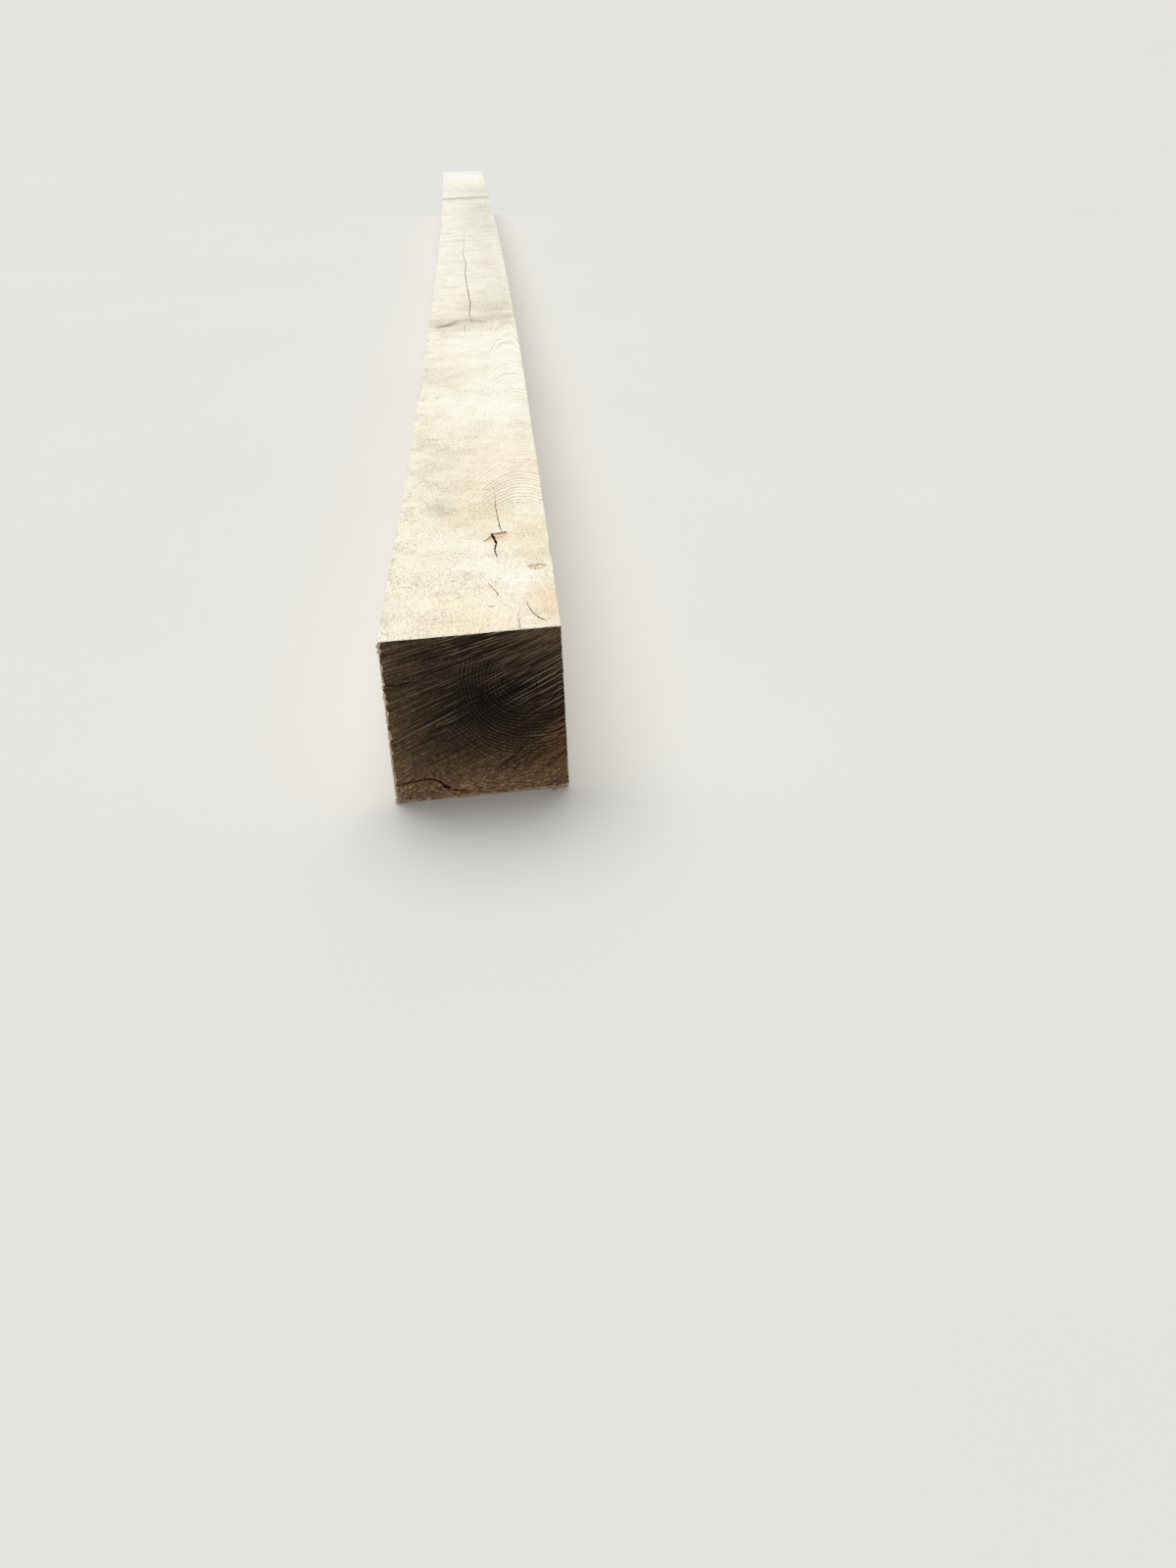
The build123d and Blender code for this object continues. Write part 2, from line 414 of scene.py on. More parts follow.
def finer(route, step, jog, least_share=0.55, most_share=1.35):
    """The same route in short steps, with the jogs and pinches of torn fibres."""
    fine = []
    for (x_here, y_here, open_here), (x_next, y_next, open_next) in zip(route, route[1:]):
        run = math.hypot(x_next - x_here, y_next - y_here)
        count = max(1, round(run / step))
        for place in range(count):
            share = place / count
            aside = rng.uniform(-jog, jog) if fine else 0.0
            opening = (open_here + (open_next - open_here) * share) * rng.uniform(least_share, most_share)
            fine.append((x_here + (x_next - x_here) * share - (y_next - y_here) / run * aside,
                         y_here + (y_next - y_here) * share + (x_next - x_here) / run * aside, opening))
    return fine + [route[-1]]


def wedge_along(route, depth, stand):
    """Corners and faces of a crack's solid. stand puts a place and a depth in the frame."""
    widest = max(opening for _, _, opening in route)
    corners_of_wedge = []
    for place, (x, y, opening) in enumerate(route):
        x_before, y_before, _ = route[max(place - 1, 0)]
        x_after, y_after, _ = route[min(place + 1, len(route) - 1)]
        run = math.hypot(x_after - x_before, y_after - y_before)
        aside_x, aside_y = -(y_after - y_before) / run, (x_after - x_before) / run
        reach = depth * (least_reach + (1 - least_reach) * math.sqrt(opening / widest))
        half_open = max(opening, least_opening) / 2
        for side, down in ((1, -clearance), (-1, -clearance), (-closing_share, reach),
                           (closing_share, reach)):
            bank_x, bank_y = x + aside_x * side * half_open, y + aside_y * side * half_open
            corners_of_wedge.append(stand(bank_x, bank_y, down))
    faces = [[0, 1, 2, 3]]
    for start in range(0, len(corners_of_wedge) - 4, 4):
        for edge in range(4):
            after = (edge + 1) % 4
            faces.append([start + edge, start + 4 + edge, start + 4 + after, start + after])
    last = len(corners_of_wedge) - 4
    return corners_of_wedge, faces + [[last + 3, last + 2, last + 1, last]]


def on_top_face(right, back, down):
    """A place on the top of the crooked beam, some depth below it."""
    return Vector((front_x + right, front_y + back, height - down)) * MM


def on_front_end(right, up, down):
    """A place on the skewed front end, some depth behind it."""
    back = right * skew_slope + (up - height / 2) * lean_slope + down
    return Vector((front_x + right - down * skew_slope, front_y + back, up - down * lean_slope)) * MM


# %% [markdown]
# A boolean modifier subtracts each solid. The manifold solver is made for closed meshes like
# these and takes a fraction of a second. Solids that would cross each other are cut one after
# the other, and those that stay apart are cut together.

# %% Cut the cracks
def cut_away(name, solids, kind_of_wall):
    """Subtracts solids that don't touch each other from the beam."""
    points, faces = [], []
    for corners_of_solid, faces_of_solid in solids:
        faces += [[corner + len(points) for corner in face] for face in faces_of_solid]
        points += corners_of_solid
    cutter = new_piece(name, points, faces, [kind_of_wall] * len(faces))
    bpy.context.view_layer.objects.active = cutter
    bpy.ops.object.mode_set(mode="EDIT")
    bpy.ops.mesh.select_all(action="SELECT")
    bpy.ops.mesh.normals_make_consistent(inside=False)
    bpy.ops.object.mode_set(mode="OBJECT")
    bpy.context.view_layer.objects.active = beam
    modifier = beam.modifiers.new(name, "BOOLEAN")
    modifier.object = cutter
    modifier.solver = "MANIFOLD"
    before = len(beam.data.polygons)
    bpy.ops.object.modifier_apply(modifier=name)
    bpy.data.objects.remove(cutter)
    print(f"{name}: {len(beam.data.polygons) - before} faces added")


# Each check in the top: its route, depth, length of a step, jog aside and greatest share of its opening
top_checks = [(long_check, 35, 6.0, 0.35, 0.9), (long_check_tail, 12, 3.0, 0.3, 1.0),
              (check_behind_knot, 12, 2.0, 0.3, 1.2), (check_before_knot, 12, 1.6, 0.3, 1.35),
              (curved_check, 12, 1.6, 0.15, 0.95), (curved_check_tail, 3, 2.0, 0.2, 1.2),
              (short_check, 6, 1.2, 0.15, 1.35), (saw_nick, 3, 1.2, 0.15, 1.35),
              (front_hairline, 5, 2.5, 0.15, 1.35), (arris_check, 12, 1.6, 0.2, 1.35),
              (small_knot_brow, 3, 1.2, 0.2, 1.35), (small_knot_tick, 3, 1.5, 0.1, 1.35)]
end_checks = [(left_end_check, 38, 2.2, 0.35), (right_end_check, 38, 1.6, 0.3), (heart_check, 38, 1.6, 0.2)]
pinched = 0.4
shake_depth = 95
cut_away("top_checks", [wedge_along(finer(route, step, jog, pinched * most, most), depth, on_top_face)
                        for route, depth, step, jog, most in top_checks], CHECK)
cut_away("end_checks", [wedge_along(finer(route, step, jog), depth, on_front_end)
                        for route, depth, step, jog in end_checks], CHECK)
cut_away("ring_shake", [wedge_along(finer(ring_shake, 1.6, 0.9, 0.2, 2.0), shake_depth, on_front_end)], CHECK)

# %% [markdown]
# A branch died and the trunk grew over its stub. Such a knot shrinks more than the wood round
# it, so its end has sunk at the far side, and it has split into a star. The pocket is a
# tapered solid with a tilted floor. The three splits are wedges like the checks.

# %% Sink and split the dead knot
knot_outline = [(10.6, 170.2), (15.6, 176.6), (18.4, 187), (30, 190.6), (31.2, 183.6), (23.4, 172.6),
                (14, 168.4)]
knot_near_edge, knot_far_edge = (23.4, 172.6), (18.4, 187)
knot_sink_near, knot_sink_far, knot_sink_least = 0.2, 1.1, 0.1
knot_taper_share = 0.96


def shrunk(outline, share):
    """The same outline drawn in towards its own middle."""
    middle_x = sum(x for x, y in outline) / len(outline)
    middle_y = sum(y for x, y in outline) / len(outline)
    return [(middle_x + (x - middle_x) * share, middle_y + (y - middle_y) * share) for x, y in outline]


def ragged(outline, step, jog):
    """The same closed outline in short steps that jog from side to side."""
    closed = [(x, y, 1.0) for x, y in outline + outline[:1]]
    return [(x, y) for x, y, _ in finer(closed, step, jog)[:-1]]


def tapered_solid(outer, inner, depths, stand):
    """Corners and faces between an outline outside a face and a smaller one inside the wood."""
    count = len(outer)
    points = [stand(x, y, -clearance) for x, y in outer]
    points += [stand(x, y, down) for (x, y), down in zip(inner, depths)]
    walls = []
    for place in range(count):
        after = (place + 1) % count
        walls.append([place, after, after + count, place + count])
    return points, walls + [list(range(count)), list(range(2 * count - 1, count - 1, -1))]


def knot_sink(x, y):
    """Depth of the knot's tilted floor, from its near edge to its far one."""
    run_x, run_y = knot_far_edge[0] - knot_near_edge[0], knot_far_edge[1] - knot_near_edge[1]
    share = ((x - knot_near_edge[0]) * run_x + (y - knot_near_edge[1]) * run_y) / (run_x**2 + run_y**2)
    return max(knot_sink_near + (knot_sink_far - knot_sink_near) * share, knot_sink_least)


knot_rim = ragged(knot_outline, 1.6, 0.3)
knot_floor = shrunk(knot_rim, knot_taper_share)
pocket = tapered_solid(knot_rim, knot_floor, [knot_sink(x, y) for x, y in knot_floor], on_top_face)
cut_away("knot_pocket", [pocket], KNOT)
knot_split = [(18, 189.5, 0), (18.7, 186, 2.2), (20, 177, 2.6), (21.2, 168, 2.2), (21.8, 161, 0)]
knot_crack_left = [(9.8, 170, 0), (13.6, 172.6, 0.9), (16.2, 177, 0.6), (18.6, 184.5, 0.5)]
knot_crack_right = [(18.4, 186.6, 0.6), (23.6, 187, 0.7), (27.6, 188, 1.4), (30.4, 191.4, 0)]
for name, route, depth, step, jog in (("knot_split", knot_split, 28, 3.2, 0.1),
                                      ("knot_crack_left", knot_crack_left, 9, 1.6, 0.2),
                                      ("knot_crack_right", knot_crack_right, 9, 1.6, 0.2)):
    cut_away(name, [wedge_along(finer(route, step, jog), depth, on_top_face)], CHECK)

# %% [markdown]
# The beam was dropped on its lower left corner, or the saw broke it out: a chip has torn away
# there, as far as the ring shake. Its outline is ragged, and its walls are splintered wood.

# %% Tear the lower left corner
torn_outline = [(-65, 12.6), (-58.6, 11), (-57.4, 7.4), (-58.2, 4.2), (-54.6, 2.4), (-50.4, 1.6),
                (-46.8, -5), (-65, -5)]
torn_depth = 24
torn_closing_share = 0.35
torn_rim = ragged(torn_outline, 1.3, 0.45)
torn_inside = [(-half + (x + half) * torn_closing_share, y * torn_closing_share) for x, y in torn_rim]
chip = tapered_solid(torn_rim, torn_inside, [torn_depth] * len(torn_rim), on_front_end)
cut_away("torn_corner", [chip], SPLINTER)

# %% [markdown]
# The teeth left a fuzz of pale fibres on the left arris of the end. The small faces of the end that touch
# that arris therefore take the finish of torn fibre. That finish is made paler still as a painted highlight,
# because these faces lie in the end's shade. Those at the torn corner and along the bottom edge are
# splintered wood.

# %% Fuzz on the edges of the end
fuzz_width_left, fuzz_width_bottom, patch_size = 1.6, 1.7, 4
splintered_up = 14.0
crease_degrees = 38
fuzzed = 0
for face in beam.data.polygons:
    if face.material_index != END or face.center.y > front_y * MM / 2:
        continue
    up = face.center.z / MM
    worn_edge = -half + top_inset_left * up / height + end_wear_depth * wear_share(up)
    from_edge = face.center.x / MM - front_x - worn_edge
    patchy = 0.8 + noise.noise(Vector((from_edge / patch_size, 0, up / patch_size)))
    near_left = from_edge < fuzz_width_left * patchy
    if near_left or up < fuzz_width_bottom * patchy:
        face.material_index = TORN if near_left and up > splintered_up else SPLINTER
        fuzzed += 1
beam.data.shade_smooth()
beam.data.set_sharp_from_angle(angle=math.radians(crease_degrees))
print("fuzzy faces:", fuzzed)

# %% [markdown]
# Wood's pattern goes right through it: the rings are cones round the pith, and every face only
# shows where it cuts them. So the pattern is worked out in the solid. The next cell measures
# each point of the beam in the straightened baulk. The places go to the materials in
# attributes, in millimetres.

# %% Measure the straightened baulk
point_count = len(beam.data.vertices)
flat_places = np.empty(point_count * 3, np.float32)
beam.data.vertices.foreach_get("co", flat_places)
point_x, point_y, point_up = flat_places.reshape(-1, 3).T / MM
point_back = point_y - front_y
point_right = point_x - front_x - crook_rise * (1 - (point_y / (length / 2))**2)


def keep_attribute(piece, name, kind, values):
    """Stores one value for each point of a piece, for its materials to read."""
    attribute = piece.data.attributes.new(name, kind, "POINT")
    field = {"FLOAT": "value", "FLOAT_VECTOR": "vector", "FLOAT_COLOR": "color"}[kind]
    attribute.data.foreach_set(field, np.asarray(values, np.float32).ravel())


grain = np.stack([point_right, point_back, point_up], axis=1)
keep_attribute(beam, "grain_mm", "FLOAT_VECTOR", grain)
keep_attribute(beam, "stroke_mm", "FLOAT", saw_strokes(point_right, point_up))
print("grain runs from", grain.min(axis=0).round(1), "to", grain.max(axis=0).round(1))

# %% [markdown]
# A ring's number grows with the distance from the pith. The trunk gets slimmer along the beam,
# mostly just past the branches near its front end, so the top cuts through older and then
# younger rings. That draws its nested flames. On the sides and the underside the same slimming
# would crowd the rings into fine arcs, so they keep the plain bands of a straight trunk. Round a
# knot the rings bulge out. They were wide when the tree was young and get narrower outwards.

# %% Count the rings
pith_right, pith_up = 38.0, 87.0
pith_wander, wander_length, wander_down = 9, 820, 0.4
# Distances back from the front end, and how much slimmer the trunk is there, in millimetres
slimming = [(0, 0), (185, 6), (250, 40), (380, 78), (460, 112), (620, 146), (850, 182), (1000, 192),
            (3500, 215)]
slimming_per_ring = 2.4
# Each knot's middle, how far round it the rings bulge, and by how much
ring_swells = [(48, 113, 8, 10, 9), (21, 180, 12, 22, 8), (-18, 1050, 34, 60, 16), (4, 2690, 60, 90, 12)]
swell_depth, swell_limit = 45.0, 9
top_skin = 1
# How the rings waver: size across and along in millimetres, shift and strength
ring_wavers = [(38, 260, 0, 3.2), (11, 70, 5, 0.9)]
rings_per_mm_young, rings_per_mm_more = 0.3, 0.0016


def ring_distance(right, back, up):
    """Distance from the pith in millimetres, as the rings bulge and waver."""
    wander = pith_wander * math.sin(back / wander_length)
    distance = math.hypot(right - pith_right - wander, up - pith_up + wander_down * wander)
    for swell_right, swell_back, reach_right, reach_back, swell in ring_swells:
        away = ((right - swell_right) / reach_right) ** 2 + ((back - swell_back) / reach_back) ** 2
        if away < swell_limit:
            distance -= swell * math.exp(-away - (height - up) / swell_depth)
    for across, along, shift, strength in ring_wavers:
        distance += strength * noise.noise(Vector((right / across, back / along, up / across + shift)))
    return distance


def smooth_rise(value, low, high):
    """0 below low and 1 above high, with an easy curve between them."""
    share = np.clip((value - low) / (high - low), 0, 1)
    return share * share * (3 - 2 * share)


distances = np.array([ring_distance(*place) for place in grain.tolist()])
below_top = height - point_up
slimmed = np.where(below_top < top_skin, 1.0, 0.0) * np.interp(point_back, *zip(*slimming))
years = rings_per_mm_young * distances + rings_per_mm_more * distances**2 + slimmed / slimming_per_ring
keep_attribute(beam, "year", "FLOAT", years)
print(f"rings {distances.min():.0f} to {distances.max():.0f} mm from the pith, {np.ptp(years):.0f} years")

# %% [markdown]
# Rings don't show evenly. On the end they are clear some way out from the pith and fade towards
# the rim, the corners and the left, where the strokes of the saw hide them. On the top
# they are clear behind the dead knot and on the right, and fade along the beam.

# %% Where the rings show
to_the_rim = smooth_rise(distances, 45, 80)
upper_right = smooth_rise(point_up + 0.5 * point_right, 96, 114)
lower_right = smooth_rise(point_right, 0, 30) * smooth_rise(-point_up, -65, -45)
upper_left = smooth_rise(-point_right, 6, 20) * smooth_rise(point_up, 50, 70)
whole_left = smooth_rise(-point_right, 5, 30)
end_show = smooth_rise(distances, 13, 22)
for faded, loss in ((to_the_rim, 0.7), (upper_right, 0.95), (lower_right, 0.55), (upper_left, 0.8),
                    (whole_left, 0.75)):
    end_show = end_show * (1 - loss * faded)
past_dead_knot = 0.15 + 0.85 * smooth_rise(point_back, 175, 225)
along_beam = 1 - 0.35 * smooth_rise(point_back, 300, 450) - 0.45 * smooth_rise(point_back, 850, 1150)
top_show = (0.15 + 0.85 * smooth_rise(point_right, -25, 25)) * past_dead_knot * along_beam
side_show = top_show * (1 - smooth_rise(below_top, 0.5, 1.5)) + 0.6 * smooth_rise(below_top, 3, 9)
keep_attribute(beam, "end_rings_show", "FLOAT", end_show)
keep_attribute(beam, "side_rings_show", "FLOAT", side_show)
print(f"rings show at {end_show.mean():.2f} on average, {side_show.mean():.2f} along the grain")

# %% [markdown]
# Freshly sawn oak is not one colour. Tannin, damp and the way it was stacked leave soft pale, grey and tan
# patches. A texture could place them at random, but these are where this beam has them. Each patch is a soft
# oval with a colour, laid over the colour of the whole face. Two wide patches along the bottom of the end are
# painted light instead.

# %% Colours for the soft patches
def linear(hex_colour):
    """An sRGB hex colour as the linear red, green, blue and alpha that Blender works in."""
    written = [int(hex_colour[place:place + 2], 16) / 255 for place in (1, 3, 5)]
    parts = [part / 12.92 if part <= 0.04045 else ((part + 0.055) / 1.055) ** 2.4 for part in written]
    return (*parts, 1.0)


def laid_over(tone, colour, share):
    """The colours of all points with another colour laid over them, by each point's share."""
    return tone * (1 - share)[:, None] + np.array(linear(colour)) * share[:, None]


def patched(base, patches, first, second):
    """The base colour with soft ovals laid over it. first and second are the places in mm."""
    tone = np.tile(np.array(linear(base)), (len(first), 1))
    for middle_first, middle_second, reach_first, reach_second, colour, strength in patches:
        away = ((first - middle_first) / reach_first) ** 2 + ((second - middle_second) / reach_second) ** 2
        tone = laid_over(tone, colour, strength * np.exp(-away))
    return tone


# %% Patches along the beam: right, back, reach right, reach back, colour, strength
side_base, dry_oak, honey_oak, pink_oak = "#f2ebd5", "#fbf6e4", "#f1e2c4", "#e4c79e"
damp_oak, tan_oak, olive_oak, knot_rim_oak = "#dad5be", "#e2d6b8", "#e8dcbe", "#a07850"
bleached_oak, grey_oak, chalk_oak = "#f1efe0", "#d4d3c4", "#fffdf2"
side_patches = [
    (-20, 2150, 300, 1000, bleached_oak, 0.95), (-60, 1700, 24, 500, dry_oak, 0.6),
    (-55, 5, 20, 20, dry_oak, 0.5), (0, 22, 34, 26, honey_oak, 0.8), (-20, 55, 18, 20, honey_oak, 0.4),
    (54, 50, 13, 34, pink_oak, 0.7), (12, 75, 7, 12, pink_oak, 0.3),
    (20, 118, 32, 30, dry_oak, 0.8), (36, 92, 18, 13, chalk_oak, 0.7), (22, 179, 13, 14, pink_oak, 0.6),
    (48, 112, 5, 4, pink_oak, 0.8), (45, 165, 16, 50, honey_oak, 0.9), (10, 235, 26, 36, olive_oak, 1.0),
    (-18, 225, 18, 30, olive_oak, 0.7), (-12, 310, 22, 36, olive_oak, 0.5),
    (-15, 410, 22, 60, olive_oak, 0.4), (-24, 262, 12, 26, damp_oak, 0.7), (-25, 372, 36, 60, damp_oak, 0.5),
    (6, 300, 16, 60, honey_oak, 0.5), (30, 400, 42, 90, honey_oak, 0.9), (10, 610, 70, 70, dry_oak, 0.7),
    (34, 700, 42, 240, dry_oak, 1.0), (-24, 672, 15, 17, tan_oak, 0.8), (-30, 715, 30, 24, damp_oak, 0.5),
    (0, 900, 70, 60, dry_oak, 0.9), (-24, 1030, 50, 36, damp_oak, 1.0), (10, 1070, 70, 30, damp_oak, 0.8),
    (24, 1160, 44, 60, damp_oak, 0.75), (26, 1600, 14, 45, pink_oak, 0.3),
    (40, 2050, 40, 150, damp_oak, 0.35), (34, 1150, 34, 90, grey_oak, 0.25),
    (34, 1700, 34, 420, grey_oak, 0.35), (10, 2150, 26, 250, grey_oak, 0.35),
    (40, 2450, 50, 190, grey_oak, 0.8), (30, 2700, 70, 45, grey_oak, 1.0),
    (40, 2880, 50, 130, grey_oak, 0.75), (44, 1320, 26, 110, grey_oak, 0.3),
    (44, 2080, 24, 150, grey_oak, 0.3), (-52, 720, 14, 40, damp_oak, 0.4),
    (-10, 3350, 90, 230, chalk_oak, 0.9), (40, 3280, 30, 160, chalk_oak, 0.9),
    (-55, 3300, 24, 160, chalk_oak, 0.6), (46, 3430, 20, 70, damp_oak, 0.4),
    (15, 1200, 20, 60, damp_oak, 0.2), (52, 160, 16, 36, olive_oak, 0.6), (-54, 45, 12, 26, damp_oak, 0.35),
]
knot_line = [(-44, 1018, 0), (-36, 1024, 0), (-29, 1032, 0), (-21, 1056, 0), (-6, 1060, 0), (14, 1042, 0)]
far_band = [(-60, 2694, 0), (-10, 2698, 0), (60, 2706, 0)]
# Painted highlight: a pale line along the lip above the far edge of the dead knot, where that edge catches
# the light.
knot_lip_highlight = [(19.5, 191, 0), (30.5, 194, 0)]
knot_shadow = [(8, 1062, 0), (62, 1084, 0)]
side_lines = [(knot_line, 5.0, "#a39373", 0.75), (knot_line[:3], 4.0, "#6f5c40", 0.75),
              (far_band, 12.0, "#aaa592", 0.8), (knot_shadow, 15.0, "#b8b09a", 0.45),
              (knot_lip_highlight, 1.4, chalk_oak, 0.9)]
# The small live knot on the right of the top: its middle, its half width and length, and its brown rim
small_knot_right, small_knot_back = 48, 112.6
small_knot_half_width, small_knot_half_length = 5.4, 4.2
rim_strength, rim_width, rim_depth = 0.9, 0.22, 3
rim_notch_depth, rim_notch_width = 0.45, 0.5
print("patches along the beam:", len(side_patches))

# %% Patches on the end: right, up, reach right, reach up, colour, strength
end_base, tannin_oak, heart_oak, red_oak = "#65533e", "#17120b", "#32281d", "#3c2817"
sap_oak, pale_end_oak, warm_oak, shake_lip_oak = "#8c704f", "#cfa67c", "#a46c34", "#c08060"
end_patches = [
    (-62, 45, 26, 42, sap_oak, 0.9), (10, 74, 44, 35, tannin_oak, 1.0), (38, 73, 22, 24, tannin_oak, 0.8),
    (-8, 62, 22, 16, tannin_oak, 0.4), (-28, 110, 18, 12, heart_oak, 0.35), (0, 110, 20, 12, tannin_oak, 0.6),
    (56, 112, 20, 16, sap_oak, 0.3), (56, 57, 14, 20, red_oak, 0.9),
    (12, 42, 22, 14, heart_oak, 0.4), (42, 98, 22, 10, tannin_oak, 0.25), (-58, 112, 14, 12, sap_oak, 0.5),
    # Painted light: the two wide patches at up 0 lighten the bottom of the end, as if the floor threw light
    # up onto it.
    (57, 30, 11, 14, warm_oak, 0.5), (-5, 0, 90, 27, sap_oak, 1.0), (0, 0, 110, 19, pale_end_oak, 1.0),
    (-59, 7, 6, 8, pale_end_oak, 0.6), (50, 90, 10, 12, sap_oak, 0.12), (20, 100, 13, 15, tannin_oak, 0.5),
    (-59, 88, 7, 30, sap_oak, 0.4), (-60, 60, 6, 14, pale_end_oak, 0.2), (58, 116, 8, 6, sap_oak, 0.3),
    (46, 18, 26, 12, warm_oak, 0.22),
]
second_pass_edge = [(-44.2, 39, 0), (-44.4, 0, 0)]
# Painted shade and painted highlights on the end: dark lines along the furrows and the fold of the crosscut,
# and pale lines along its lit ridges.
furrows = [[(10.5, 18.5, 0), (28, 33.5, 0)], [(13, 17, 0), (35, 31, 0)], [(21, 17, 0), (41, 33.5, 0)],
           [(17, 22, 0), (30, 35, 0)], [(30, 20, 0), (46, 31, 0)], [(43, 16, 0), (60, 30, 0)],
           [(44, 0, 0), (49, 4, 0), (56, 10.5, 0)]]
lit_ridges = [[(-8, 7, 0), (12, 4.6, 0), (34, 9, 0), (60, 18.5, 0)], [(22, 2.6, 0), (40, 6, 0), (60, 13, 0)],
              [(36, 42.5, 0), (50, 42, 0), (60, 45, 0)], [(42, 38.5, 0), (60, 41, 0)],
              [(46, 46, 0), (60, 49.5, 0)]]
end_lines = [(ring_shake, 1.3, shake_lip_oak, 0.7), (ring_shake[:8], 0.6, "#40211a", 0.85),
             (left_end_check, 0.6, tannin_oak, 0.6), (right_end_check, 0.6, tannin_oak, 0.6),
             (second_pass_edge, 0.6, heart_oak, 0.35)]
end_lines += [(furrow, 0.7, tannin_oak, 0.65) for furrow in furrows]
end_lines += [(ridge, 0.9, pale_end_oak, 0.3) for ridge in lit_ridges]
# Pale strands at the torn corner, each with a painted shadow just below and left of it.
for strand_top in (-45.5, -48.5, -51.5, -54.5):
    pale_strand = [(strand_top, 12, 0), (strand_top - 1.5, 6, 0), (strand_top - 4, 0, 0)]
    strand_shadow = [(right - 1.5, up - 1, 0) for right, up, _ in pale_strand]
    end_lines += [(pale_strand, 0.8, pale_end_oak, 0.6), (strand_shadow, 0.6, tannin_oak, 0.6)]
print("patches on the end:", len(end_patches), "and lines:", len(end_lines))


# %% Lay the patches and lines over the wood
def near_route(route, first, second):
    """Distance of every point from a route in its plane."""
    nearest = np.full(len(first), 1e9)
    for (x_here, y_here, _), (x_next, y_next, _) in zip(route, route[1:]):
        run_x, run_y = x_next - x_here, y_next - y_here
        share = np.clip(((first - x_here) * run_x + (second - y_here) * run_y) / (run_x**2 + run_y**2), 0, 1)
        away = np.hypot(first - x_here - share * run_x, second - y_here - share * run_y)
        nearest = np.minimum(nearest, away)
    return nearest


def lined(tone, lines, first, second, where):
    """The same colours with soft lines along routes laid over them, where they belong."""
    for route, reach, colour, strength in lines:
        nearness = np.exp(-(near_route(route, first, second) / reach) ** 2)
        tone = laid_over(tone, colour, where * strength * nearness)
    return tone


plain_below, end_reach = 70, 60
pass_lift = 0.1
side_tone = patched(side_base, side_patches, point_right, point_back)
side_tone = lined(side_tone, side_lines, point_right, point_back, 1.0)
side_tone = laid_over(side_tone, side_base, np.clip(below_top / plain_below, 0, 1))
right_of_knot, behind_knot = point_right - small_knot_right, point_back - small_knot_back
rim_turn = np.arctan2(behind_knot, right_of_knot)
rim_notch = rim_notch_depth * np.exp(-((rim_turn - math.pi / 2) / rim_notch_width) ** 2)
rim_radius = np.hypot(right_of_knot / small_knot_half_width, behind_knot / small_knot_half_length) + rim_notch
rim_share = rim_strength * np.exp(-((rim_radius - 1) / rim_width) ** 2)
rim_share = rim_share * (0.7 + 0.3 * np.sin(rim_turn)) * (below_top < rim_depth)
side_tone = laid_over(side_tone, knot_rim_oak, rim_share)
near_end = np.where(point_back < end_reach, 1.0, 0.0)
second_pass = smooth_rise(-point_right, 44, 46) * (1 - smooth_rise(point_up, 34, 40)) * near_end
end_tone = patched(end_base, end_patches, point_right, point_up)
end_tone = lined(end_tone, end_lines, point_right, point_up, near_end)
end_tone = end_tone * (1 + pass_lift * second_pass)[:, None]
keep_attribute(beam, "second_pass", "FLOAT", second_pass)
keep_attribute(beam, "side_tone", "FLOAT_COLOR", side_tone)
keep_attribute(beam, "end_tone", "FLOAT_COLOR", end_tone)
print(f"second pass on {(second_pass > 0.5).sum()} points")

# %% [markdown]
# Loose fibres hang from the torn edges. Each is a thin three-sided spike that curls from its
# root to its tip. A fibre that would leave the beam's own box is moved back into it, root first,
# so the piece keeps its size. Fibres on real oak are finer than this, but they would not show.

# %% One loose fibre
fibre_points, fibre_faces = [], []
fibre_steps = 5
tip_loss = 0.85
box_margin = 0.1
low_corner = np.array(beam_low) / MM + box_margin
high_corner = np.array(beam_high) / MM - box_margin


def drawn(*ranges):
    """A random number from each range, in their order."""
    return [rng.uniform(low, high) for low, high in ranges]


def add_fibre(root, heading, reach, thickness, curl):
    """Adds one spike to the mesh: from a root, along a heading, thinning and curling to its tip."""
    way = Vector(heading).normalized()
    turn = Vector(drawn((-1, 1), (-1, 1), (-1, 1))).cross(way).normalized()
    place = Vector(root)
    first = len(fibre_points)
    spike = []
    for step in range(fibre_steps + 1):
        thick = thickness / 2 * (1 - tip_loss * step / fibre_steps)
        aside = way.orthogonal().normalized()
        other = way.cross(aside)
        for corner in range(3):
            angle = math.tau * corner / 3
            spike.append(place + aside * thick * math.cos(angle) + other * thick * math.sin(angle))
        way = (way + turn * curl / fibre_steps).normalized()
        place = place + way * reach / fibre_steps
    spike = np.array(spike)
    outside_low = np.maximum(low_corner - spike.min(axis=0), 0)
    outside_high = np.maximum(spike.max(axis=0) - high_corner, 0)
    fibre_points.extend((spike + outside_low - outside_high) * MM)
    for here in range(first, first + 3 * fibre_steps, 3):
        for corner in range(3):
            after = (corner + 1) % 3
            fibre_faces.append([here + corner, here + after, here + 3 + after, here + 3 + corner])
    last = first + 3 * fibre_steps
    fibre_faces.extend([[first + 2, first + 1, first], [last, last + 1, last + 2]])


def in_end(right, up, sunk):
    """A root in the front end, sunk below it by some millimetres."""
    return on_front_end(right, up, sunk) / MM


# %% [markdown]
# The left arris carries tufts and, between them, short fuzz. The torn corner bristles. Longer
# fibres lie along the left of the bottom edge and short ones along the rest of it, and one
# small bunch stands before its right.

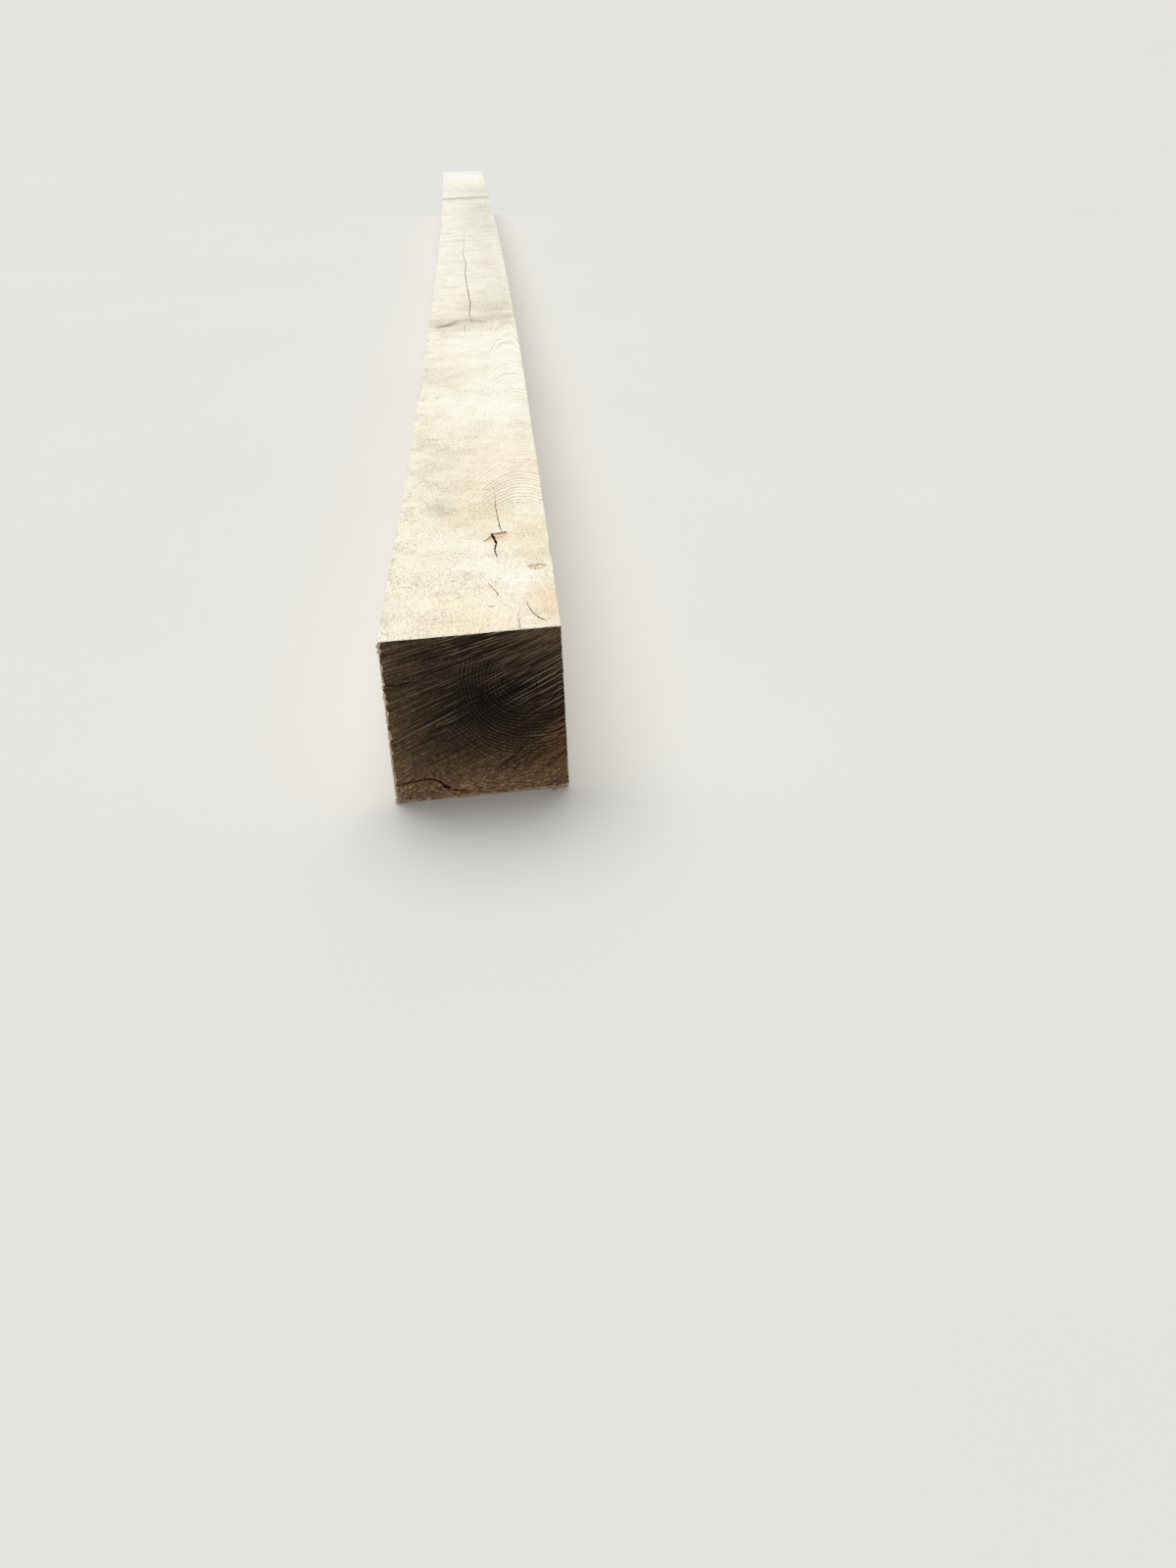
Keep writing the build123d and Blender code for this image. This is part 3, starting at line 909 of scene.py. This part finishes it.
# %% All the loose fibres
left_tufts = [(117, 3.0, 10), (88, 5.0, 5), (64, 12.0, 7), (39, 2.5, 10), (30, 3.0, 12), (7, 6.0, 30)]
for up_middle, spread, count in left_tufts:
    for _ in range(count):
        up = min(max(rng.gauss(up_middle, spread), 0.8), 119)
        heading = drawn((-1, 0.1), (-0.9, 0.3), (-1.4, 0.7))
        add_fibre(in_end(-half + 1.8, up, 0.3), heading, *drawn((1.8, 4.6), (0.4, 0.85)), 1.8)
for _ in range(110):
    up = rng.uniform(1, 119)
    heading = drawn((-1, 0.2), (-0.6, 0.1), (-1.5, 1.5))
    add_fibre(in_end(-half + 1.7, up, 0.3), heading, *drawn((1.0, 2.6), (0.25, 0.5)), 1.2)
for _ in range(90):
    right = -half + 1.6 + abs(rng.gauss(0, 4))
    up = rng.uniform(0.8, 13)
    heading = drawn((-1, 0.3), (-0.9, -0.1), (-1.0, 0.3))
    add_fibre(in_end(right, up, 0.4), heading, *drawn((1.4, 3.6), (0.4, 0.8)), 2.2)
for _ in range(90):
    right = -half + 1.5 + abs(rng.gauss(0, 7))
    heading = drawn((-0.9, 0.4), (-0.7, -0.1), (-1.0, -0.4))
    up = rng.uniform(1.2, 3.2)
    add_fibre(in_end(right, up, 0.3), heading, *drawn((1.5, 3.4), (0.3, 0.6)), 1.4)
for _ in range(80):
    right = rng.uniform(-46, 59)
    heading = drawn((-1, 1), (-0.9, -0.2), (-0.9, 0.1))
    up = rng.uniform(0.7, 1.3)
    add_fibre(in_end(right, up, 0.2), heading, *drawn((1.1, 2.8), (0.35, 0.65)), 1.2)
for aside in (-0.3, -0.1, 0.1, 0.3):
    add_fibre(in_end(49, 3.0, 0.4), (aside, -1, -0.6), 5.6, 1.4, 0.4)
fibre_points = [list(point) for point in fibre_points]
fibres = new_piece("torn_fibres", fibre_points, fibre_faces, [TORN] * len(fibre_faces))
fibres.data.shade_smooth()
print("fibres:", len(fibre_faces) // (3 * fibre_steps + 2))

# %% [markdown]
# A material is a tree of nodes. One small function adds a node, sets it up and links it, so
# that each material below reads as a list of what is laid over what. A map range takes its
# value, the range that it comes from and the range that it goes to, in that order.

# %% Add a node
def put(tree, kind, inputs=(), **settings):
    """Adds a node with its settings. Inputs come in order or by name, as nodes, sockets or values."""
    node = tree.nodes.new("ShaderNode" + kind)
    for name, value in settings.items():
        setattr(node, name, value)
    usable = [socket for socket in node.inputs if socket.enabled]
    named = {socket.name: socket for socket in reversed(usable)}
    pairs = inputs.items() if isinstance(inputs, dict) else zip(range(len(inputs)), inputs)
    for key, value in pairs:
        socket = named[key] if isinstance(key, str) else usable[key]
        if isinstance(value, bpy.types.Node):
            value = next(output for output in value.outputs if output.enabled)
        if isinstance(value, bpy.types.NodeSocket):
            tree.links.new(value, socket)
        else:
            socket.default_value = value
    return node


# %% [markdown]
# All the finishes are oak, so they share the rings, and ways to let a noise swing round zero and
# to add up patterns by weight. They also end alike, in a bump and a matt surface. Wood has an
# IOR of about 1.53. To draw noise with cells of a real size, a place in millimetres is divided
# by that size, and the noise then has a scale of 1.

# %% Patterns of oak
oak_ior = 1.53
good_year_step, good_year_weight = 0.31, 1.2
dense_share, porous_share = 0.12, 0.38


def start_tree(material):
    """Empties a material's tree and returns it."""
    material.use_nodes = True
    material.node_tree.nodes.clear()
    return material.node_tree


def swing(tree, pattern, *strengths):
    """A noise that swings round zero, times its strengths."""
    pattern = put(tree, "Math", (pattern, 0.5), operation="SUBTRACT")
    for strength in strengths:
        pattern = put(tree, "Math", (pattern, strength), operation="MULTIPLY")
    return pattern


def add_up(tree, total, *weighed):
    """A total with patterns added to it, each times its weight."""
    for pattern, weight in weighed:
        total = put(tree, "Math", (pattern, weight, total), operation="MULTIPLY_ADD")
    return total


def ring_pattern(tree, show):
    """0.5 in the porous wood that starts a year and -0.5 in the dense wood that ends it, where rings show."""
    year = put(tree, "Attribute", attribute_name="year").outputs["Fac"]
    good_place = put(tree, "Math", (year, good_year_step), operation="MULTIPLY")
    good_years = put(tree, "TexNoise", {"W": good_place, "Scale": 1.0, "Detail": 1.0}, noise_dimensions="1D")
    year = put(tree, "Math", (good_years, good_year_weight, year), operation="MULTIPLY_ADD")
    season = put(tree, "Math", (year,), operation="FRACT")
    from_dense = put(tree, "Math", (season, 0.5), operation="PINGPONG")
    porous = put(tree, "MapRange", (from_dense, dense_share, porous_share, -0.5, 0.5),
                 interpolation_type="SMOOTHSTEP")
    shown = put(tree, "Attribute", attribute_name=show).outputs["Fac"]
    return put(tree, "Math", (porous, shown), operation="MULTIPLY")


def end_tree(material, colour, roughness, relief, strength, depth, specular=0.5):
    """Ends an oak material: a bump with a depth in millimetres, a matt surface and the output."""
    tree = material.node_tree
    bump = put(tree, "Bump", {"Strength": strength, "Distance": depth * MM, "Height": relief})
    surface = put(tree, "BsdfPrincipled", {"Base Color": colour, "Roughness": roughness, "IOR": oak_ior,
                                           "Specular IOR Level": specular, "Normal": bump})
    put(tree, "OutputMaterial", (surface,))
    print(f"{material.name}: {len(tree.nodes)} nodes")


# %% [markdown]
# Rough-sawn green oak, side grain. The bandsaw left it matt and slightly furry, so it has no
# gloss. From near by the eye reads short fibres and open pores along the grain, the flames of
# the rings, and fine dashes across it from the teeth. Their contrast is low, because the
# surface is pale and dry. The pores are 0.3 mm wide on real oak and drawn three times as coarse
# here, and the fibres, which are finer still, are drawn 1 mm wide. Below the top, on the sides
# and the underside, the fur is thinner, and long streaks of grain take its place.

# %% Material: rough-sawn oak
wood = start_tree(finishes[SIDE])
place = put(wood, "Attribute", attribute_name="grain_mm").outputs["Vector"]
tone = put(wood, "Attribute", attribute_name="side_tone").outputs["Color"]
# Size of each pattern's cells in millimetres: across, along and up
wood_sizes = {"fibre": (1.0, 5, 1.0), "pore": (0.9, 5, 0.9), "tooth": (5, 1.4, 5), "saw line": (60, 2.2, 60),
              "cloud": (2.6, 6, 2.6), "stain": (16, 24, 16), "dwell": (160, 34, 160),
              "long grain": (3.4, 110, 3.4)}
noises = []
for size in wood_sizes.values():
    cells = put(wood, "VectorMath", (place, [1 / part for part in size]), operation="MULTIPLY")
    noises.append(put(wood, "TexNoise", {"Vector": cells, "Scale": 1.0, "Detail": 3.0, "Roughness": 0.6}))
fibre, pore, tooth, saw_line, cloud, stain, dwell, long_grain = noises
print("patterns of the sawn oak:", ", ".join(wood_sizes))
pore = put(wood, "MapRange", (pore, 0.58, 0.7), interpolation_type="SMOOTHSTEP")
tooth = put(wood, "MapRange", (tooth, 0.52, 0.7), interpolation_type="SMOOTHSTEP")
fresh = put(wood, "MapRange", (stain, 0.42, 0.56, 1.0, 0.3), interpolation_type="SMOOTHSTEP")
axes = put(wood, "SeparateXYZ", (place,))
right_of_middle, above_ground = axes.outputs["X"], axes.outputs["Z"]
furry = put(wood, "MapRange", (right_of_middle, -58.0, 10.0, 1.0, 0.3))
near_top = put(wood, "MapRange", (above_ground, height - 15, height - 1, 0.35, 1.0))
off_top = put(wood, "MapRange", (above_ground, height - 15, height - 1, 0.65, 0.0))
fleck_strength = put(wood, "MapRange", (right_of_middle, -50.0, 45.0, 0.8, 0.55))
for factor in (fresh, furry, near_top):
    tooth = put(wood, "Math", (tooth, factor), operation="MULTIPLY")
fleck = swing(wood, fibre, fleck_strength, near_top)
early = ring_pattern(wood, "side_rings_show")
middle_shade = 0.61
shade = add_up(wood, middle_shade, (fleck, 1.0), (cloud, 0.25), (stain, 0.3), (dwell, 0.24),
               (saw_line, 0.14), (early, -0.2), (pore, -0.12), (tooth, -0.4),
               (swing(wood, long_grain, off_top), 1.0))

# %% Colour and surface of the rough-sawn oak
plain_colour = put(wood, "VectorMath", {"Vector": tone, "Scale": shade}, operation="SCALE")
browned = put(wood, "MapRange", (shade, 0.8, 1.05, 0.45, 0.0))
colour = put(wood, "Mix", (browned, plain_colour.outputs[0], linear("#cfb48a")),
             data_type="RGBA", blend_type="MULTIPLY")
colour = put(wood, "VectorMath", (colour, (1, 1, 1)), operation="MINIMUM")
relief = add_up(wood, 0.0, (tooth, -0.8), (fibre, 0.9), (saw_line, 1.2), (pore, -0.9))
gloss = put(wood, "MapRange", (fibre, 0.0, 1.0, 0.72, 0.92))
end_tree(finishes[SIDE], colour, gloss, relief, 0.55, 0.35)

# %% [markdown]
# Crosscut green oak, end grain. The cut ends of the fibres drink light, so the end is far
# darker than the sides, and its contrasts are strong. They are added up as shares, and the
# exponent of the sum then darkens or lightens the tone, so that it never falls below black. Over
# the rings and rays lie the strokes of the crosscut saw, as thin lines of pale fuzz that climb
# to the right. They come in five sets, each with its own spacing in millimetres and its own part
# of the end. In a set the strokes are counted, a noise makes their steps uneven, and another
# noise breaks each line in places of its own. Strokes 2 to 6 mm apart are what the saw left,
# but the fuzz on them is finer than the lines that are drawn here, which are 0.9 mm wide.

# %% Strokes of the crosscut saw
cut = start_tree(finishes[END])
place = put(cut, "Attribute", attribute_name="grain_mm").outputs["Vector"]
stroke = put(cut, "Attribute", attribute_name="stroke_mm").outputs["Fac"]
tone = put(cut, "Attribute", attribute_name="end_tone").outputs["Color"]
second_pass = put(cut, "Attribute", attribute_name="second_pass").outputs["Fac"]
axes = put(cut, "SeparateXYZ", (place,))
right_of_middle, above_ground = axes.outputs["X"], axes.outputs["Z"]
stroke_place = put(cut, "CombineXYZ", (right_of_middle, stroke))
to_the_top = put(cut, "MapRange", (above_ground, 20.0, 60.0, 0.15, 1.0))
to_the_top = put(cut, "Math", (second_pass, 0.8, to_the_top), operation="MULTIPLY_ADD")
to_the_left = put(cut, "MapRange", (right_of_middle, -16.0, 4.0, 0.5, 0.03))
corner_reach = put(cut, "Math", (above_ground, 1.2, right_of_middle), operation="MULTIPLY_ADD")
to_the_corner = put(cut, "MapRange", (corner_reach, 98.0, 138.0, 0.0, 0.85))
to_the_pass = put(cut, "Math", (second_pass, 0.4), operation="MULTIPLY")
cells = put(cut, "VectorMath", (stroke_place, (1 / 150, 1 / 9, 1)), operation="MULTIPLY")
waver = put(cut, "TexNoise", {"Vector": cells, "Scale": 1.0, "Detail": 1.0})
waver_reach, half_line, broken_fade, stroke_jump = 4.4, 0.45, 0.2, 1.7
streak = 0.0
# Each set of strokes: spacing, share broken away, length that stays whole, and where they show
for spacing, broken, unbroken, shown in ((5.6, 0.42, 34, to_the_left), (2.7, 0.42, 22, to_the_corner),
                                         (3.3, 0.5, 16, to_the_left), (3.9, 0.44, 28, to_the_corner),
                                         (2.2, 0.44, 9, to_the_pass)):
    count = put(cut, "Math", (stroke, 1 / spacing), operation="MULTIPLY")
    count = put(cut, "Math", (waver, waver_reach / spacing, count), operation="MULTIPLY_ADD")
    number = put(cut, "Math", (count,), operation="FLOOR")
    off_line = put(cut, "Math", (count, number), operation="SUBTRACT")
    off_line = put(cut, "Math", (off_line, 0.5), operation="SUBTRACT")
    off_line = put(cut, "Math", (off_line,), operation="ABSOLUTE")
    edge = half_line / spacing
    line = put(cut, "MapRange", (off_line, 0.0, edge, 1.0, 0.0), interpolation_type="SMOOTHSTEP")
    line_place = put(cut, "CombineXYZ", (right_of_middle, number, spacing))
    cells = put(cut, "VectorMath", (line_place, (1 / unbroken, stroke_jump, 1)), operation="MULTIPLY")
    whole = put(cut, "TexNoise", {"Vector": cells, "Scale": 1.0, "Detail": 3.0})
    whole = put(cut, "MapRange", (whole, broken, broken + broken_fade), interpolation_type="SMOOTHSTEP")
    for factor in (whole, to_the_top, shown):
        line = put(cut, "Math", (line, factor), operation="MULTIPLY")
    streak = put(cut, "Math", (streak, line), operation="MAXIMUM")
print("strokes of the crosscut:", len(cut.nodes), "nodes")

# %% [markdown]
# Below the strokes lie furrows along them, specks, the rays that run out from the pith, and the
# fine grain of the rings, which crosses the rays. Rays and ring grain are drawn by the angle
# round the pith and the distance from it. The second pass of the saw has wiped out both, and its
# own strokes and furrows are stronger.

# %% Rays, furrows and grain of the end
first_pass = put(cut, "Math", (1.0, second_pass), operation="SUBTRACT")
from_pith = put(cut, "VectorMath", (place, (pith_right, 0, pith_up)), operation="SUBTRACT")
from_pith = put(cut, "VectorMath", (from_pith, (1, 0, 1)), operation="MULTIPLY")
radius = put(cut, "VectorMath", (from_pith,), operation="LENGTH").outputs["Value"]
from_pith = put(cut, "SeparateXYZ", (from_pith,))
angle = put(cut, "Math", (from_pith.outputs["Z"], from_pith.outputs["X"]), operation="ARCTAN2")
round_pith = put(cut, "CombineXYZ", (angle, radius))
# Each pattern: where it lies, the size of its cells, its detail and its roughness. Round the
# pith the first size is an angle in radians.
noises = []
for where, size, detail, roughness in ((stroke_place, (3, 1.0, 1), 2.0, 0.7),
                                       (stroke_place, (45, 2.0, 1), 3.0, 0.5),
                                       (round_pith, (1 / 48, 9, 1), 3.0, 0.75),
                                       (round_pith, (1 / 12, 1.1, 1), 2.0, 0.5)):
    cells = put(cut, "VectorMath", (where, [1 / part for part in size]), operation="MULTIPLY")
    noises.append(put(cut, "TexNoise", {"Vector": cells, "Scale": 1.0, "Detail": detail,
                                        "Roughness": roughness}))
speck, furrow, ray, ring_grain = noises
ray_strength = put(cut, "MapRange", (radius, 40.0, 95.0, 2.4, 1.0))
ray = swing(cut, ray, ray_strength, first_pass)
grain_strength = put(cut, "MapRange", (above_ground, 15.0, 60.0, 3.2, 0.8))
ring_grain = swing(cut, ring_grain, grain_strength, first_pass)
furrow_strength = put(cut, "MapRange", (above_ground, 15.0, 60.0, 1.4, 4.2))
furrow_strength = put(cut, "Math", (second_pass, 2.0, furrow_strength), operation="MULTIPLY_ADD")
furrow = swing(cut, furrow, furrow_strength)
porous = ring_pattern(cut, "end_rings_show")
middle_share = -2.72
shares = add_up(cut, middle_share, (speck, 3.8), (porous, 1.9), (ray, 1.0), (furrow, 1.0),
                (ring_grain, 1.0))

# %% Colour and surface of the crosscut oak
greatest_share = 0.7
shade = put(cut, "Math", (shares, greatest_share), operation="MINIMUM")
shade = put(cut, "Math", (shade,), operation="EXPONENT")
plain_colour = put(cut, "VectorMath", {"Vector": tone, "Scale": shade}, operation="SCALE")
dust_share = put(cut, "MapRange", (shares, 0.4, 1.8, 0.0, 0.2))
fuzz_share = put(cut, "Math", (streak, 0.92, dust_share), operation="MULTIPLY_ADD")
colour = put(cut, "Mix", (fuzz_share, plain_colour.outputs[0], linear("#c2a684")), data_type="RGBA")
relief = add_up(cut, streak, (speck, 0.8), (furrow, 0.8), (porous, 0.3))
gloss = put(cut, "MapRange", (speck, 0.0, 1.0, 0.7, 0.95))
end_tree(finishes[END], colour, gloss, relief, 0.6, 0.5, specular=0.15)

# %% [markdown]
# The walls of a check are wood that tore along its fibres, and tannin has darkened them. Little
# light gets in, so they only need a dark brown with streaks along the grain.

# %% Material: walls of the checks
wall = start_tree(finishes[CHECK])
place = put(wall, "Attribute", attribute_name="grain_mm").outputs["Vector"]
cells = put(wall, "VectorMath", (place, (1 / 1.2, 1 / 9, 1 / 1.2)), operation="MULTIPLY")
tears = put(wall, "TexNoise", {"Vector": cells, "Scale": 1.0, "Detail": 3.0})
colour = put(wall, "Mix", (tears, linear("#2b1d12"), linear("#6d5236")), data_type="RGBA")
end_tree(finishes[CHECK], colour, 0.9, tears, 0.7, 0.5)

# %% [markdown]
# Dead knot. A branch's wood is denser than the trunk's and stands on end here, so it is a
# pinker brown, in small rings of its own 3.6 mm apart that waver.

# %% Material: dead knot
knot = start_tree(finishes[KNOT])
knot_middle, knot_upright_share = (21.5, 179.0, height), 0.2
half_ring = 1.8
place = put(knot, "Attribute", attribute_name="grain_mm").outputs["Vector"]
from_heart = put(knot, "VectorMath", (place, knot_middle), operation="SUBTRACT")
flattened = put(knot, "VectorMath", (from_heart, (1, 1, knot_upright_share)), operation="MULTIPLY")
radius = put(knot, "VectorMath", (flattened,), operation="LENGTH").outputs["Value"]
cells = put(knot, "VectorMath", (place, (1 / 4, 1 / 4, 1 / 4)), operation="MULTIPLY")
wobble = put(knot, "TexNoise", {"Vector": cells, "Scale": 1.0, "Detail": 3.0})
turns = add_up(knot, 0.0, (radius, 1 / half_ring), (wobble, 2.0))
lines = put(knot, "Math", (turns, 1.0), operation="PINGPONG")
share = add_up(knot, 0.0, (wobble, 0.4), (lines, 0.6))
colour = put(knot, "Mix", (share, linear("#d2ab88"), linear("#f2dabe")), data_type="RGBA")
end_tree(finishes[KNOT], colour, 0.7, share, 0.7, 0.6)

# %% [markdown]
# Torn oak fibre and splintered oak. What the teeth pulled loose has dried out first and is pale like straw.
# Its colour is paler still, a painted highlight, so that the fibres on the end look lit in the end's shade.
# The splinters of the torn corner are damp still, and tan. Both
# finishes are strands that differ a little from one to the next, so one loop makes both. Real
# strands are a tenth of a millimetre thick and would not show, so these are drawn 1 mm thick.

# %% Material: torn fibre and splintered oak
for kind, dark_strand, pale_strand in ((TORN, "#a88a62", "#efdfbf"), (SPLINTER, "#b8926a", "#f6e2c2")):
    strand = start_tree(finishes[kind])
    where = put(strand, "TexCoord").outputs["Object"]
    cells = put(strand, "VectorMath", (where, (0.9 / MM, 0.5 / MM, 0.9 / MM)), operation="MULTIPLY")
    strands = put(strand, "TexNoise", {"Vector": cells, "Scale": 1.0, "Detail": 3.0})
    contrast = put(strand, "MapRange", (strands, 0.32, 0.68))
    colour = put(strand, "Mix", (contrast, linear(dark_strand), linear(pale_strand)), data_type="RGBA")
    end_tree(finishes[kind], colour, 0.85, strands, 0.6, 0.4)

# %% [markdown]
# Both pieces ride on the beam's one body. The detailed mesh stands for the plain one.

# %% Join the pieces to the frame
for piece in (beam, fibres):
    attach(piece, "root")
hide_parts("beam")
print("pieces:", beam.name, fibres.name)

# %% [markdown]
# The beam lies on a pale matt floor, large enough to reach the horizon. The sky has the floor's
# own brightness where the camera sees it, so no line shows where the two meet.

# %% Floor
floor_reach = 60.0
floor_mesh = bpy.data.meshes.new("studio_floor")
floor_mesh.from_pydata([(-floor_reach, -floor_reach, 0), (floor_reach, -floor_reach, 0),
                        (floor_reach, floor_reach, 0), (-floor_reach, floor_reach, 0)], [], [[0, 1, 2, 3]])
floor = add_object("studio_floor", floor_mesh)
floor_material = bpy.data.materials.new("matt_studio_floor")
floor_mesh.materials.append(floor_material)
paint = start_tree(floor_material)
floor_place = put(paint, "TexCoord").outputs["Object"]
cloud = put(paint, "TexNoise", {"Vector": floor_place, "Scale": 2.2, "Detail": 3.0})
colour = put(paint, "Mix", (cloud, linear("#e3e1dd"), linear("#e7e5e1")), data_type="RGBA")
surface = put(paint, "BsdfPrincipled", {"Base Color": colour, "Roughness": 0.9})
put(paint, "OutputMaterial", (surface,))
print("floor spans", 2 * floor_reach, "m")

# %% [markdown]
# The light is a wide soft lamp from above and behind, with an even sky. It lights the top fully
# and leaves the end in its own shade, as open daylight does. Together they are as strong as
# plain daylight, so that a colour on the top renders about as it is written.

# %% Light and sky
sky_strength, lamp_strength, lamp_width_degrees = 0.42, 2.05, 50
lamp_turn_degrees = (-27, -8, 0)
lamp_data = bpy.data.lights.new("soft_lamp", "SUN")
lamp_data.energy = lamp_strength
lamp_data.angle = math.radians(lamp_width_degrees)
lamp = add_object("soft_lamp", lamp_data)
lamp.rotation_euler = [math.radians(turn) for turn in lamp_turn_degrees]
world = bpy.data.worlds.new("studio_sky")
bpy.context.scene.world = world
world.use_nodes = True
sky = world.node_tree
sky.nodes.clear()
seen = put(sky, "LightPath").outputs["Is Camera Ray"]
glow = put(sky, "Background", {"Color": linear("#ffffff"), "Strength": sky_strength})
backdrop = put(sky, "Background", {"Color": linear("#e5e4e0"), "Strength": 1.0})
mixed = put(sky, "MixShader", (seen, glow, backdrop))
put(sky, "OutputWorld", (mixed,))
print("lamp", lamp_strength, "and sky", sky_strength)

# %% [markdown]
# The camera stands 71 cm in front of the end, a little right of its middle and 44 cm above the
# ground that the beam lies on, and looks down along its length.

# %% Camera
eye_right, eye_back, eye_up = 21.0, -710.6, 436.7
yaw, pitch, roll = math.radians(4.15), math.radians(31.37), math.radians(1.99)
lens_mm, sensor_mm, nearest_m = 27.71, 36.0, 0.01
eye = Vector((front_x + eye_right, front_y + eye_back, eye_up)) * MM
camera_data = bpy.data.cameras.new("camera")
camera_data.lens = lens_mm
camera_data.sensor_width = sensor_mm
camera_data.clip_start = nearest_m
camera = add_object("camera", camera_data)
look_down = Matrix.Rotation(-yaw, 4, "Z") @ Matrix.Rotation(math.pi / 2 - pitch, 4, "X")
camera.matrix_world = Matrix.Translation(eye) @ look_down @ Matrix.Rotation(-roll, 4, "Z")
bpy.context.scene.camera = camera
bpy.context.scene.view_settings.view_transform = "Standard"
print("camera at", [round(part, 3) for part in eye])
